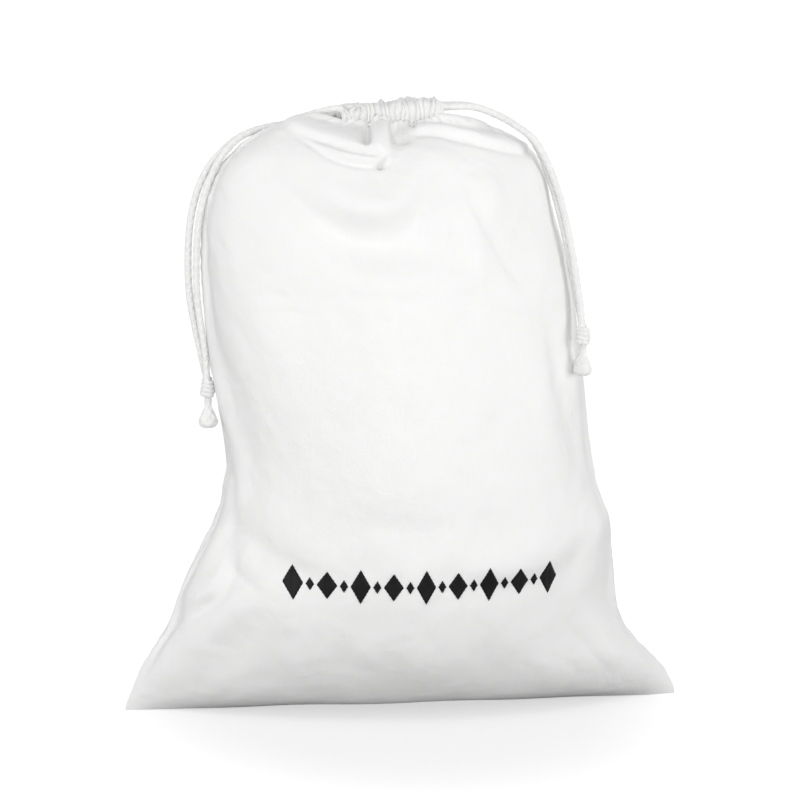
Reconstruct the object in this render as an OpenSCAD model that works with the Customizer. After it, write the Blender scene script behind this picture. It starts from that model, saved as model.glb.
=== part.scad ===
// Cotton drawstring laundry bag, filled and standing on its bottom seam.
// Origin: on the floor, in the middle of the bottom seam. +X right, -Y front, +Z up.
// Two panels are sewn along the sides and the bottom; each panel has its own
// casing at the mouth; two cord loops run through both casings and leave at
// opposite ends, so that pulling both tails draws the mouth shut.

/* [Bag] */
// Width across the two bottom corners
bag_w = 400; // [390:2:410]
// Height of the filled bag, floor to the top of the gathered mouth
bag_h = 436; // [436:1:450]
// Depth of the belly, front to back
bag_d = 234; // [226:2:242]
// Modelled thickness of the cotton cloth
cloth_t = 1.2; // [1.0:0.1:1.4]

/* [Mouth] */
// Length of the drawn-up casing
casing_l = 76; // [74:1:78]
// Height of the casing band
casing_h = 17; // [16.5:0.5:18]
// Outside thickness of one casing, front to back, without its pleats
casing_t = 15; // [15:0.5:16]
// Number of vertical pleats along one casing
pleats = 17; // [12:1:19]
// Depth of a pleat
pleat_d = 1.4; // [1:0.1:1.6]

/* [Cord] */
// Diameter of the braided cord
cord_d = 5; // [4.4:0.2:5]
// Largest diameter of the teardrop at the end of each tail
drop_d = 13; // [12:0.5:13.5]
// Height of the teardrop
drop_h = 21; // [20:0.5:22]
// Largest diameter of the gathering knot above the teardrop
knot_d = 11; // [10:0.5:11.5]

/* [Embroidery] */
// Number of large lozenges in the embroidered band
lozenges = 9; // [7:2:9]
// Half height of a large lozenge
lozenge_h = 12; // [10:0.5:13]
// How far the thread stands proud of the cloth
thread_h = 0.7; // [0.5:0.1:0.9]

/* [Hidden] */

cotton = "#f4f4f2";
cord_col = "#ececea";
thread_col = "#fbfbfa";
ink = "#111113";

// The tables below are drawn for a bag of 400 x 234 x 447 and stretched to size.
scale_x = bag_w / 400;
scale_y = bag_d / 234;
scale_z = bag_h / 447;

// ---- Shared functions ----

function unit(v) = v / norm(v);
function clamp_index(i, count) = max(0, min(count - 1, i));

// Two triangles for the four-cornered face a, b, c, d.
function quad(a, b, c, d) = [[a, b, c], [a, c, d]];

// Catmull-Rom curve from b to c, with a and d as the neighbours.
function catmull_rom(a, b, c, d, u) =
  0.5 * ((2 * b) + (c - a) * u + (2 * a - 5 * b + 4 * c - d) * u * u
         + (3 * b - a - 3 * c + d) * u * u * u);

// Row of a table at a fractional row number, smoothed through the rows around it.
function sample(table, pos) =
  let (count = len(table), i = min(count - 2, max(0, floor(pos))), u = pos - i,
       before = table[clamp_index(i - 1, count)],
       after = table[clamp_index(i + 2, count)])
  [for (k = [0 : len(table[0]) - 1])
    catmull_rom(before[k], table[i][k], table[i + 1][k], after[k], u)];

// ---- Filled bag ----

// Stations of the filled bag, bottom to top. Each row is one horizontal girth:
// height at the left side, height at the right side, half width left, half width
// right, depth in front of the seam, depth behind it, and its bulge exponent
// (2 = a pointed lens at the corners, 1 = an ellipse, below 1 = a blunt oval).
STATIONS = [
  [  0,     0,   200,   200,    18,    38,   2.0 ],
  [  7,     6,   198.5, 199,    42,    56,   1.95],
  [ 16,    13,   195,   196,    61,    70,   1.85],
  [ 30,    22,   190,   191,    76,    82,   1.7 ],
  [ 48,    35,   179,   179,    90,    92,   1.5 ],
  [ 68,    52,   167,   161,   101,   100,   1.32],
  [ 94,    80,   158,   151,   110,   106,   1.2 ],
  [122,   112,   142,   149,   115,   111,   1.12],
  [152,   140,   128,   147,   117,   115,   1.06],
  [188,   172,   123,   136,   118,   118,   1.0 ],
  [220,   205,   128,   131,   116,   116,   1.0 ],
  [262,   248,   137,   128,   112,   110,   1.0 ],
  [302,   292,   143,   124,   106,   104,   1.0 ],
  [340,   332,   144.5, 117,    97,    97,   1.0 ],
  [372,   366,   141.5, 107,    85,    88,   1.0 ],
  [396,   392,   131,   101,    73,    76,   1.0 ],
  [413,   408,   115,    92,    62,    64,   1.0 ],
  [424,   417,    98,    80,    51,    53,   0.95],
  [429,   424,    80,    63,    39,    41,   0.85],
  [430.5, 428,    64,    46,    29,    30,   0.7 ],
  [429.6, 429.2,  46.5,  30.5,  19.4,  19.4, 0.42]
];
// Columns of a girth
LEFT_Z = 0;
RIGHT_Z = 1;
LEFT_W = 2;
RIGHT_W = 3;
FRONT = 4;
BACK = 5;
BULGE = 6;

RINGS = 30;     // girths drawn over the whole height
ARC = 26;       // steps around one panel
SEAM = 0.6;     // gap kept at the seam plane for the seam thread
outer_gap = SEAM + 0.5;   // seam plane to the outer face
inner_gap = SEAM + 0.1;   // seam plane to the inner face
seam_half_l = 197 * scale_x;   // half length of the seam line under the bag

// Girth at a fractional station number.
function station(pos) = let (r = sample(STATIONS, pos)) [
  max(0, r[LEFT_Z]) * scale_z, max(0, r[RIGHT_Z]) * scale_z,
  r[LEFT_W] * scale_x, r[RIGHT_W] * scale_x,
  r[FRONT] * scale_y, r[BACK] * scale_y, r[BULGE]];

// Column of the half width that applies on the side with the sign of x.
function width_col(x) = x < 0 ? LEFT_W : RIGHT_W;
// Height of a girth; across runs from -1 at the left seam to 1 at the right.
function girth_z(girth, across) =
  girth[RIGHT_Z] + (girth[LEFT_Z] - girth[RIGHT_Z]) * (1 - across) / 2;
function mid_z(girth) = (girth[LEFT_Z] + girth[RIGHT_Z]) / 2;

// Station of a ring: ring 0 is the seam line under the bag, ring 1 the edge of
// the flat bottom.
function ring_pos(i) = (NS - 1) * max(0, i - 1) / (RINGS - 1);
NS = len(STATIONS);

// Panel points, in front of the seam plane. j = 0 at the right seam, ARC at the
// left; side is FRONT or BACK and only picks the depths.
function outer(i, j, side) =
  let (a = 180 * j / ARC, c = cos(a), girth = station(ring_pos(i)))
  i == 0 ? [seam_half_l * c, -(outer_gap + 0.3 * sin(a)), 0]
         : [girth[width_col(c)] * c,
            -(outer_gap + girth[side] * pow(max(0, sin(a)), girth[BULGE])),
            girth_z(girth, c)];

// Move of ring i inwards by the cloth's thickness, square to the profile that
// the given column draws over the height: [change of that column, change of z].
// Below ring 1 the profile turns in: by 3 at the corners, to nothing in depth.
function inward(i, col) =
  let (below = station(ring_pos(i - 1)), above = station(ring_pos(min(RINGS, i + 1))),
       start = i > 1 ? below[col] : col < FRONT ? below[col] - 3 : 0,
       run = [above[col] - start, mid_z(above) - mid_z(below)])
  cloth_t * [-run[1], run[0]] / norm(run);

function inner(i, j, side) =
  let (a = 180 * j / ARC, c = cos(a))
  i == 0 ? [(seam_half_l - cloth_t) * c, -(inner_gap + 0.2 * sin(a)), cloth_t]
         : let (girth = station(ring_pos(i)), col = width_col(c),
                move_w = inward(i, col), move_d = inward(i, side))
           [(girth[col] + move_w[0]) * c,
            -(inner_gap + (girth[side] + move_d[0]) * pow(max(0, sin(a)), girth[BULGE])),
            girth_z(girth, c) + move_d[1] * sin(a) * sin(a) + move_w[1] * c * c];

// One panel, as a sheet of even thickness closed along its four edges.
module panel(side) {
  row = ARC + 1;
  sheet = (RINGS + 1) * row;
  function out(i, j) = i * row + j;
  function inn(i, j) = sheet + i * row + j;
  points = concat([for (i = [0 : RINGS], j = [0 : ARC]) outer(i, j, side)],
                  [for (i = [0 : RINGS], j = [0 : ARC]) inner(i, j, side)]);
  faces = concat(
    // outer and inner faces
    [for (i = [0 : RINGS - 1], j = [0 : ARC - 1])
      each quad(out(i, j), out(i, j + 1), out(i + 1, j + 1), out(i + 1, j))],
    [for (i = [0 : RINGS - 1], j = [0 : ARC - 1])
      each quad(inn(i, j), inn(i + 1, j), inn(i + 1, j + 1), inn(i, j + 1))],
    // bottom and top edges
    [for (j = [0 : ARC - 1])
      each quad(out(0, j), inn(0, j), inn(0, j + 1), out(0, j + 1))],
    [for (j = [0 : ARC - 1])
      each quad(out(RINGS, j), out(RINGS, j + 1), inn(RINGS, j + 1), inn(RINGS, j))],
    // right and left edges
    [for (i = [0 : RINGS - 1])
      each quad(out(i, 0), out(i + 1, 0), inn(i + 1, 0), inn(i, 0))],
    [for (i = [0 : RINGS - 1])
      each quad(out(i, ARC), inn(i, ARC), inn(i + 1, ARC), out(i + 1, ARC))]);
  polyhedron(points = points, faces = faces, convexity = 6);
}

module front_panel() { color(cotton) panel(FRONT); }
module back_panel() { color(cotton) mirror([0, 1, 0]) panel(BACK); }

// ---- Seam threads: ribbons in the seam plane, just inside the bag's edge ----

ribbon_t = 0.8;       // thickness, front to back
ribbon_near = 0.4;    // edge of the bag to the near edge of the ribbon
ribbon_far = 5;       // edge of the bag to the far edge of the ribbon
bottom_thread_l = 372 * scale_x;

// Ribbon of overlock thread that joins the seam allowances inside a side seam.
// side = 1 right, -1 left.
module side_thread(side) {
  steps = 24;
  half_t = ribbon_t / 2;
  points = [for (i = [0 : steps])
    let (girth = station(1 + (NS - 3.2) * i / steps),
         near = side * (girth[width_col(side)] - ribbon_near),
         far = side * (girth[width_col(side)] - ribbon_far),
         z = girth_z(girth, side))
    each [[near, -half_t, z], [far, -half_t, z], [far, half_t, z], [near, half_t, z]]];
  top = 4 * steps;
  faces = concat(quad(0, 1, 2, 3),
    [for (i = [0 : steps - 1], k = [0 : 3]) let (next = (k + 1) % 4)
      each quad(4 * i + k, 4 * i + 4 + k, 4 * i + 4 + next, 4 * i + next)],
    quad(top + 3, top + 2, top + 1, top));
  // the left ribbon is a mirrored one, so its faces turn the other way
  polyhedron(points = points, convexity = 4,
    faces = side > 0 ? faces : [for (f = faces) [f[2], f[1], f[0]]]);
}

module left_seam_thread() { color(thread_col) side_thread(-1); }
module right_seam_thread() { color(thread_col) side_thread(1); }
module bottom_seam_thread() {
  color(thread_col) translate([-bottom_thread_l / 2, -ribbon_t / 2, ribbon_near])
    cube([bottom_thread_l, ribbon_t, ribbon_far - ribbon_near]);
}

// ---- Embroidered band on the front ----

band_l = 178;        // first to last lozenge, centre to centre
band_mid_z = 104.5;
band_sag = 1.2;
patch_gap = 0.3;     // cloth to the back of a patch

// Station, between low and high, whose girth passes x at height z, by halving.
function find_station(x, z, low, high, halvings) =
  let (mid = (low + high) / 2, girth = station(mid),
       across = max(-1, min(1, x / girth[width_col(x)])))
  halvings == 0 ? mid
    : girth_z(girth, across) < z ? find_station(x, z, mid, high, halvings - 1)
                                 : find_station(x, z, low, mid, halvings - 1);

// y of the front panel's outer face at x and z.
function front_y(x, z) =
  let (girth = station(find_station(x, z, low = 2, high = 12, halvings = 16)),
       across = x / girth[width_col(x)])
  -(outer_gap + girth[FRONT] * pow(sqrt(max(0, 1 - across * across)), girth[BULGE]));

// A flat shape laid on the front face: outline in x and z, about centre.
module patch(centre, outline) {
  count = len(outline);
  front = count + 1;   // index of the front centre point
  function layer(proud) = [for (p = concat([[0, 0]], outline))
    let (x = centre[0] + p[0], z = centre[1] + p[1]) [x, front_y(x, z) - proud, z]];
  faces = [for (i = [0 : count - 1]) let (a = 1 + i, b = 1 + (i + 1) % count)
    each concat([[0, b, a], [front, front + a, front + b]],
                quad(a, b, front + b, front + a))];
  polyhedron(points = concat(layer(patch_gap), layer(patch_gap + thread_h)), faces = faces);
}

// Diamond with a point in the middle of each side.
function diamond(half_w, half_h) =
  let (tips = [[half_w, 0], [0, half_h], [-half_w, 0], [0, -half_h]])
  [for (k = [0 : 7]) let (i = floor(k / 2), f = k / 2 - i)
    tips[i] * (1 - f) + tips[(i + 1) % 4] * f];

// The band sags very slightly in the middle, as the loaded cloth does.
function band_z(x) = band_mid_z + band_sag * pow(x / (band_l / 2), 2);

// Tall and lower lozenges in turn, with a small one between each two.
module embroidered_motif() {
  pitch = band_l / (lozenges - 1);
  color(ink) for (i = [0 : lozenges - 1]) {
    x = -band_l / 2 + i * pitch;
    between_x = x + pitch / 2;
    patch([x, band_z(x)],
          diamond(pitch * 0.3, i % 2 == 0 ? lozenge_h : lozenge_h * 0.8));
    if (i < lozenges - 1)
      patch([between_x, band_z(between_x)], diamond(pitch * 0.12, lozenge_h * 0.36));
  }
}

// ---- Casings ----

casing_x = -46 * scale_x;        // left end
casing_z = 430.6 * scale_z;      // foot
casing_gap = 4;                  // seam plane to the near face
casing_wall = 1.5;
casing_far = casing_gap + casing_t;
pleat_steps = 6;                 // outline steps per pleat

// Front casing: an inverted trough around the cords, pleated on its outside.
module casing() {
  steps = pleats * pleat_steps;
  translate([casing_x, 0, casing_z]) difference() {
    linear_extrude(casing_h)
      polygon(concat(
        [for (i = [0 : steps])
          [casing_l * i / steps,
           -casing_far - pleat_d * (0.5 - 0.5 * cos(360 * i / pleat_steps))]],
        [[casing_l, -casing_gap], [0, -casing_gap]]));
    translate([-1, -casing_far + casing_wall, -1])
      cube([casing_l + 2, casing_t - 2 * casing_wall, casing_h + 1 - casing_wall]);
  }
}

// Row of lock stitches just inside the foot of the front casing.
module stitches() {
  count = 19;
  for (i = [0 : count - 1])
    translate([casing_x + casing_l * (i + 0.5) / count,
               -casing_far + casing_wall + 0.55, casing_z + 1.2])
      rotate([0, 90, 0]) cylinder(h = 2.4, r = 0.35, center = true, $fn = 16);
}

// Turns a front piece to the back, about the middle of the mouth.
module to_back() {
  translate([2 * casing_x + casing_l, 0, 0]) rotate([0, 0, 180]) children();
}

module front_casing() { color(cotton) casing(); }
module back_casing() { color(cotton) to_back() casing(); }
module front_casing_stitching() { color(thread_col) stitches(); }
module back_casing_stitching() { color(thread_col) to_back() stitches(); }

// ---- Cord loops inside the casings: two straight legs joined by a half turn ----

leg_y = 14;                    // seam plane to the middle of a leg
left_loop_z = casing_z + 5;
right_loop_z = casing_z + 11.4;
leg_l = casing_l + 2;          // the half turn stands beyond the casing's end

module cord_loop() {
  for (side = [-1, 1])
    translate([0, side * leg_y, 0]) rotate([0, 90, 0])
      cylinder(h = leg_l, d = cord_d, $fn = 24);
  translate([leg_l, 0, 0]) rotate([0, 0, -90])
    rotate_extrude(angle = 180, $fn = 48) translate([leg_y, 0]) circle(d = cord_d, $fn = 24);
}
module left_cord_loop() {
  color(cord_col) translate([casing_x, 0, left_loop_z]) cord_loop();
}
module right_cord_loop() {
  color(cord_col) translate([casing_x + casing_l, 0, right_loop_z])
    rotate([0, 0, 180]) cord_loop();
}

// ---- Cord tails ----

// Centre lines of the two tails (x, y, z): from the casing to the shoulder, then
// from the shoulder down to the knot.
LEFT_SHOULDER = [-144.4, 0, 385];
LEFT_TOP = [
  [-47.5, 0, 435.6], [-58, 1, 435.9], [-70, 1.5, 436], [-84, 2, 434.6], [-98, 2, 430.6],
  [-112, 1.5, 421.6], [-124.6, 1, 411], [-137.5, 0.5, 397.4], LEFT_SHOULDER
];
LEFT_TAIL = [
  LEFT_SHOULDER, [-149.5, 0, 368], [-152.6, 0, 348], [-153.6, 0, 322],
  [-152.6, 0, 300], [-149.6, 0, 280], [-145.6, 0, 260], [-141, 0, 242]
];
RIGHT_SHOULDER = [101.6, -33.5, 385];
RIGHT_TOP = [
  [31.2, 0, 442], [45.4, -1, 441.4], [58, -6, 437], [70, -14, 430.5],
  [79, -22, 424], [87.5, -27.5, 417], [95, -30.5, 403], RIGHT_SHOULDER
];
RIGHT_TAIL = [
  RIGHT_SHOULDER, [106.5, -37.5, 366], [110.4, -43, 345],
  [113.8, -48.5, 322], [116.6, -54, 300], [118, -58.5, 283]
];
strand_y = 2.8;              // centre line to the middle of one strand
leg_shares = [1, 0.72, 0.42];   // share of leg_y left at the first three points

function to_size(points) = [for (p = points) [p[0] * scale_x, p[1] * scale_y, p[2] * scale_z]];

// Offset along y at point i. It grows where the path runs forwards, so that the
// strands keep their distance square to the path.
function spread(points, i) =
  let (count = len(points),
       along = unit(points[clamp_index(i + 1, count)] - points[clamp_index(i - 1, count)]))
  (strand_y + 0.15) / sqrt(1 - along[1] * along[1]);

// Points of one strand; side = -1 front, 1 back. The top strands leave the
// casings leg_y from the seam plane and close up over the first three points.
function top_points(table, side) = let (points = to_size(table))
  [for (i = [0 : len(points) - 1])
    points[i] + [0, side * (i < 3 ? leg_y * leg_shares[i] : spread(points, i)), 0]];
function tail_points(table, side) = [for (p = to_size(table)) p + [0, side * strand_y, 0]];

// Smooth path through a table, leaving out the last `skip` points.
function path(table, steps, skip = 0) =
  [for (i = [0 : steps - skip]) sample(table, (len(table) - 1) * i / steps)];

// Round cord swept along a path; each end closes with a short narrowing cap.
module cord(points, start_cap = 0.3, start_taper = 0.8) {
  end_cap = 0.3;
  end_taper = 0.8;
  sides = 10;
  last = len(points) - 1;
  centres = concat([points[0] - unit(points[1] - points[0]) * start_cap], points,
                   [points[last] + unit(points[last] - points[last - 1]) * end_cap]);
  tapers = concat([start_taper], [for (p = points) 1], [end_taper]);
  count = len(centres);
  vertices = [for (i = [0 : count - 1])
    let (along = unit(centres[clamp_index(i + 1, count)] - centres[clamp_index(i - 1, count)]),
         across = unit(cross(along, [0.02, 1, 0.01])),
         up = cross(across, along))
    for (k = [0 : sides - 1]) let (a = 360 * k / sides)
      centres[i] + cord_d / 2 * tapers[i] * (cos(a) * across + sin(a) * up)];
  faces = concat(
    [[for (k = [0 : sides - 1]) sides - 1 - k]],
    [for (i = [0 : count - 2], k = [0 : sides - 1])
      let (ring = i * sides, above = ring + sides, next = (k + 1) % sides)
      each quad(ring + k, ring + next, above + next, above + k)],
    [[for (k = [0 : sides - 1]) (count - 1) * sides + k]]);
  polyhedron(points = vertices, faces = faces, convexity = 6);
}

// The top strand stops one step short of the shoulder.
module strand_top(table, side) { cord(path(top_points(table, side), 26, skip = 1)); }
module strand_tail(table, side) {
  cord(path(tail_points(table, side), 16), start_cap = 1.5, start_taper = 0.62);
}

module left_cord_front_strand_top() { color(cord_col) strand_top(LEFT_TOP, -1); }
module left_cord_back_strand_top() { color(cord_col) strand_top(LEFT_TOP, 1); }
module right_cord_front_strand_top() { color(cord_col) strand_top(RIGHT_TOP, -1); }
module right_cord_back_strand_top() { color(cord_col) strand_top(RIGHT_TOP, 1); }
module left_cord_front_strand() { color(cord_col) strand_tail(LEFT_TAIL, -1); }
module left_cord_back_strand() { color(cord_col) strand_tail(LEFT_TAIL, 1); }
module right_cord_front_strand() { color(cord_col) strand_tail(RIGHT_TAIL, -1); }
module right_cord_back_strand() { color(cord_col) strand_tail(RIGHT_TAIL, 1); }

// ---- Knots and teardrops ----

knot_below = 12.7;   // strand ends to the foot of the knot
drop_below = 2.9;    // foot of the knot to the centre of the teardrop's ball
ball_r = 2.3;

// Foot of each knot, just under the ends of its two strands.
function knot_at(x, y, tail) =
  [x * scale_x, y * scale_y, tail[len(tail) - 1][2] * scale_z - knot_below];
left_knot_at = knot_at(-139.4, 0, LEFT_TAIL);
right_knot_at = knot_at(118.2, -60.5, RIGHT_TAIL);

// Knot that gathers both strands.
module knot() {
  r = knot_d / 2;
  rotate_extrude($fn = 40) polygon([
    [0, 0], [r * 0.82, 0], [r * 0.98, 1.2], [r, 3.4], [r * 0.96, 5.6],
    [r * 0.97, 7.8], [r * 0.9, 9.6], [r * 0.78, 10.8], [0, 10.8]]);
}

// Teardrop below the knot: half ball, neck and drop, from the ball's centre.
module drop() {
  r = drop_d / 2;
  rotate_extrude($fn = 40) polygon(concat(
    [for (a = [90 : -15 : 0]) [ball_r * cos(a), ball_r * sin(a)]],
    [[2.4, -1.4], [3.1, -3.6], [r * 0.72, -6.6], [r * 0.93, -9.6],
     [r, -drop_h * 0.7 + 2.6], [r * 0.96, -drop_h * 0.82 + ball_r],
     [r * 0.78, -drop_h * 0.94 + ball_r], [r * 0.45, -drop_h + ball_r],
     [0, -drop_h + ball_r]]));
}

module left_cord_knot() { color(cord_col) translate(left_knot_at) knot(); }
module left_cord_end() { color(cord_col) translate(left_knot_at - [0, 0, drop_below]) drop(); }
module right_cord_knot() { color(cord_col) translate(right_knot_at) knot(); }
module right_cord_end() { color(cord_col) translate(right_knot_at - [0, 0, drop_below]) drop(); }

front_panel();
back_panel();
left_seam_thread();
right_seam_thread();
bottom_seam_thread();
embroidered_motif();
front_casing();
front_casing_stitching();
back_casing();
back_casing_stitching();
left_cord_loop();
left_cord_front_strand_top();
left_cord_back_strand_top();
left_cord_front_strand();
left_cord_back_strand();
left_cord_knot();
left_cord_end();
right_cord_loop();
right_cord_front_strand_top();
right_cord_back_strand_top();
right_cord_front_strand();
right_cord_back_strand();
right_cord_knot();
right_cord_end();
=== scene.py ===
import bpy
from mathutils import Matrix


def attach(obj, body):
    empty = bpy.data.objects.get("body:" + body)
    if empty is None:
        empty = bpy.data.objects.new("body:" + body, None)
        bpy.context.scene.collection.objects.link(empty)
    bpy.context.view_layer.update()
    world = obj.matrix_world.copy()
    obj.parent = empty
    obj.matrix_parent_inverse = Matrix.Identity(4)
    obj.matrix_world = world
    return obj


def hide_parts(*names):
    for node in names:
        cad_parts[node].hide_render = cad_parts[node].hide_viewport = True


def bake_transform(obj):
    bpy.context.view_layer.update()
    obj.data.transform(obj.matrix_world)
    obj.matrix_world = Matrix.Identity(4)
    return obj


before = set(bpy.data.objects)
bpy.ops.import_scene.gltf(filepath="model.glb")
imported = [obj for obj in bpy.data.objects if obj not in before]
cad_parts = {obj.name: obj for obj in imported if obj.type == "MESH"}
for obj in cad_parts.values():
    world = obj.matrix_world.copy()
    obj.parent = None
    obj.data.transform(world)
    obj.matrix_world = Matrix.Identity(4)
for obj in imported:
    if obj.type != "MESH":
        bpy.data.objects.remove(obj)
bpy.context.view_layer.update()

import math

import bmesh
import bpy
import numpy as np
from mathutils import Vector
from mathutils.bvhtree import BVHTree

MM = 0.001
FRONT, BACK = -1, 1                # sign of y on each side of the seam plane
HEIGHT_SCALE = 436 / 447           # heights are tabulated for a 447 tall bag and brought to 436
MOUTH_Z = 430.6 * HEIGHT_SCALE     # foot of the casings
SEAM_Y = 0.15                      # each panel stops this far from the seam plane
FOOT_HALF = 197.0                  # half length of the bottom seam
COLLECTION = bpy.context.collection

# Camera, in metres and radians. The front folds are laid out on the plane through its aim point.
AZIMUTH, ELEVATION = math.radians(-8.0), math.radians(7.5)
CAMERA_DISTANCE = 2.4
AIM_HEIGHT, AIM_SHIFT = 0.2191, -0.0022
VIEW_WIDTH = 0.5705                # width seen at the aim point
TO_CAMERA = np.array([math.sin(AZIMUTH) * math.cos(ELEVATION),
                      -math.cos(AZIMUTH) * math.cos(ELEVATION), math.sin(ELEVATION)])
VIEW_RIGHT = np.array([math.cos(AZIMUTH), math.sin(AZIMUTH), 0.0])
VIEW_UP = np.cross(TO_CAMERA, VIEW_RIGHT)
CAMERA = np.array([0, 0, AIM_HEIGHT]) + AIM_SHIFT * VIEW_RIGHT + CAMERA_DISTANCE * TO_CAMERA


def on_view_plane(points):
    """Points seen from the camera, as mm right and up of the aim point."""
    ray = points * MM - CAMERA
    scale = CAMERA_DISTANCE / MM / -(ray @ TO_CAMERA)
    return scale * (ray @ VIEW_RIGHT), scale * (ray @ VIEW_UP)


# ------------------------------------------------------------------ curves
def spline_at(table, at):
    """Rows of a table read at fractional indices along a Catmull-Rom spline."""
    count = len(table)
    i = np.clip(np.floor(at).astype(int), 0, count - 2)
    u = (at - i)[:, None]
    a, b, c, d = (table[np.clip(i + k, 0, count - 1)] for k in (-1, 0, 1, 2))
    return 0.5 * ((2 * b) + (c - a) * u + (2 * a - 5 * b + 4 * c - d) * u * u
                  + (3 * b - a - 3 * c + d) * u ** 3)


def arc_length(points, axis=0):
    steps = np.linalg.norm(np.diff(points, axis=axis), axis=-1)
    return np.insert(np.cumsum(steps, axis=axis), 0, 0, axis=axis)


def points_at(line, at):
    """Points of a line at the given lengths along it."""
    length = arc_length(line)
    return np.stack([np.interp(at, length, line[:, k]) for k in range(3)], -1)


def even(line, step):
    total = arc_length(line)[-1]
    return points_at(line, np.linspace(0, total, int(total / step) + 1))


def smoothstep(t):
    return t * t * (3 - 2 * t)


# ------------------------------------------------------------------ the filled bag as a loft
# height at left seam, at right seam, half width left, right, depth front, back, roundness power
STATIONS = np.array([
    [0, 0, 200, 200, 18, 38, 2.0],
    [7, 6, 198.5, 199, 42, 56, 1.95],
    [16, 13, 195, 196, 61, 70, 1.85],
    [30, 22, 190, 191, 76, 82, 1.7],
    [48, 35, 179, 179, 90, 92, 1.5],
    [68, 52, 167, 161, 101, 100, 1.32],
    [94, 80, 158, 151, 110, 106, 1.2],
    [122, 112, 142, 149, 115, 111, 1.12],
    [152, 140, 128, 147, 117, 115, 1.06],
    [188, 172, 123, 136, 118, 118, 1.0],
    [220, 205, 128, 131, 116, 116, 1.0],
    [262, 248, 137, 128, 112, 110, 1.0],
    [302, 292, 143, 124, 106, 104, 1.0],
    [340, 332, 144.5, 117, 97, 97, 1.0],
    [372, 366, 141.5, 107, 85, 88, 1.0],
    [396, 392, 131, 101, 73, 76, 1.0],
    [413, 408, 115, 92, 62, 64, 1.0],
    [424, 417, 98, 80, 51, 53, 0.95],
    [429, 424, 80, 63, 39, 41, 0.85],
    [430.5, 428, 64, 46, 29, 30, 0.7],
    [429.6, 429.2, 46.5, 30.5, 19.4, 19.4, 0.42],
], float)
STATIONS[:, :2] *= HEIGHT_SCALE
LAST = len(STATIONS) - 1


def skin(stations, angles, side):
    """Grid of points: a row per station, a column per angle (0 right seam, pi left seam)."""
    row = spline_at(STATIONS, stations)
    row[:, 6] *= np.interp(stations, [4, 8, 16, 19], [1, 0.86, 0.9, 1])
    cosine, sine = np.cos(angles)[None, :], np.maximum(0, np.sin(angles))[None, :]
    width = np.where(cosine < 0, row[:, 2:3], row[:, 3:4])
    depth = row[:, 4:5] if side == FRONT else row[:, 5:6]
    z = np.maximum(0, row[:, 1:2] + (row[:, 0:1] - row[:, 1:2]) * (1 - cosine) / 2)
    y = side * (SEAM_Y + (depth + 0.95) * sine ** row[:, 6:7])
    return np.stack([width * cosine, np.broadcast_to(y, z.shape), z], -1)


def station_rows(low_spacing, top_spacing):
    """Station values spaced evenly up the front profile, closer together near the mouth."""
    s = np.linspace(0, LAST, 1200)
    steps = np.linalg.norm(np.diff(skin(s, np.array([math.pi / 2]), FRONT)[:, 0], axis=0), axis=1)
    length = np.concatenate([[0], np.cumsum(steps)])
    from_top = length[-1] - length
    spacing = top_spacing + (low_spacing - top_spacing) * np.clip((from_top - 30) / 110, 0, 1)
    count = np.concatenate([[0], np.cumsum(steps / (0.5 * (spacing[1:] + spacing[:-1])))])
    return np.interp(np.linspace(0, count[-1], int(count[-1]) + 1), count, s)


def panel_grid(side, columns, low_spacing, top_spacing):
    """Panel from the bottom seam, under the bag and up to the mouth."""
    stations = station_rows(low_spacing, top_spacing)
    angles = np.linspace(0, math.pi, columns)
    body = skin(stations, angles, side)
    edge = body[0]
    under_rows = 7
    under = []
    for k in range(under_rows):
        t = k / under_rows
        x = FOOT_HALF * np.cos(angles) * (1 - t) + edge[:, 0] * t
        y = side * (SEAM_Y + (np.abs(edge[:, 1]) - SEAM_Y) * t)
        under.append(np.stack([x, y, 0 * angles], -1))
    stations = np.concatenate([-1 + np.arange(under_rows) / under_rows, stations])
    return np.concatenate([np.array(under), body]), stations, angles


def outward_normals(grid):
    normal = np.cross(np.gradient(grid, axis=1), np.gradient(grid, axis=0))
    normal /= np.maximum(1e-9, np.linalg.norm(normal, axis=2, keepdims=True))
    from_middle = grid - np.array([0, 0, 200.0])
    return -normal if (normal * from_middle).sum(2).mean() < 0 else normal


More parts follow.
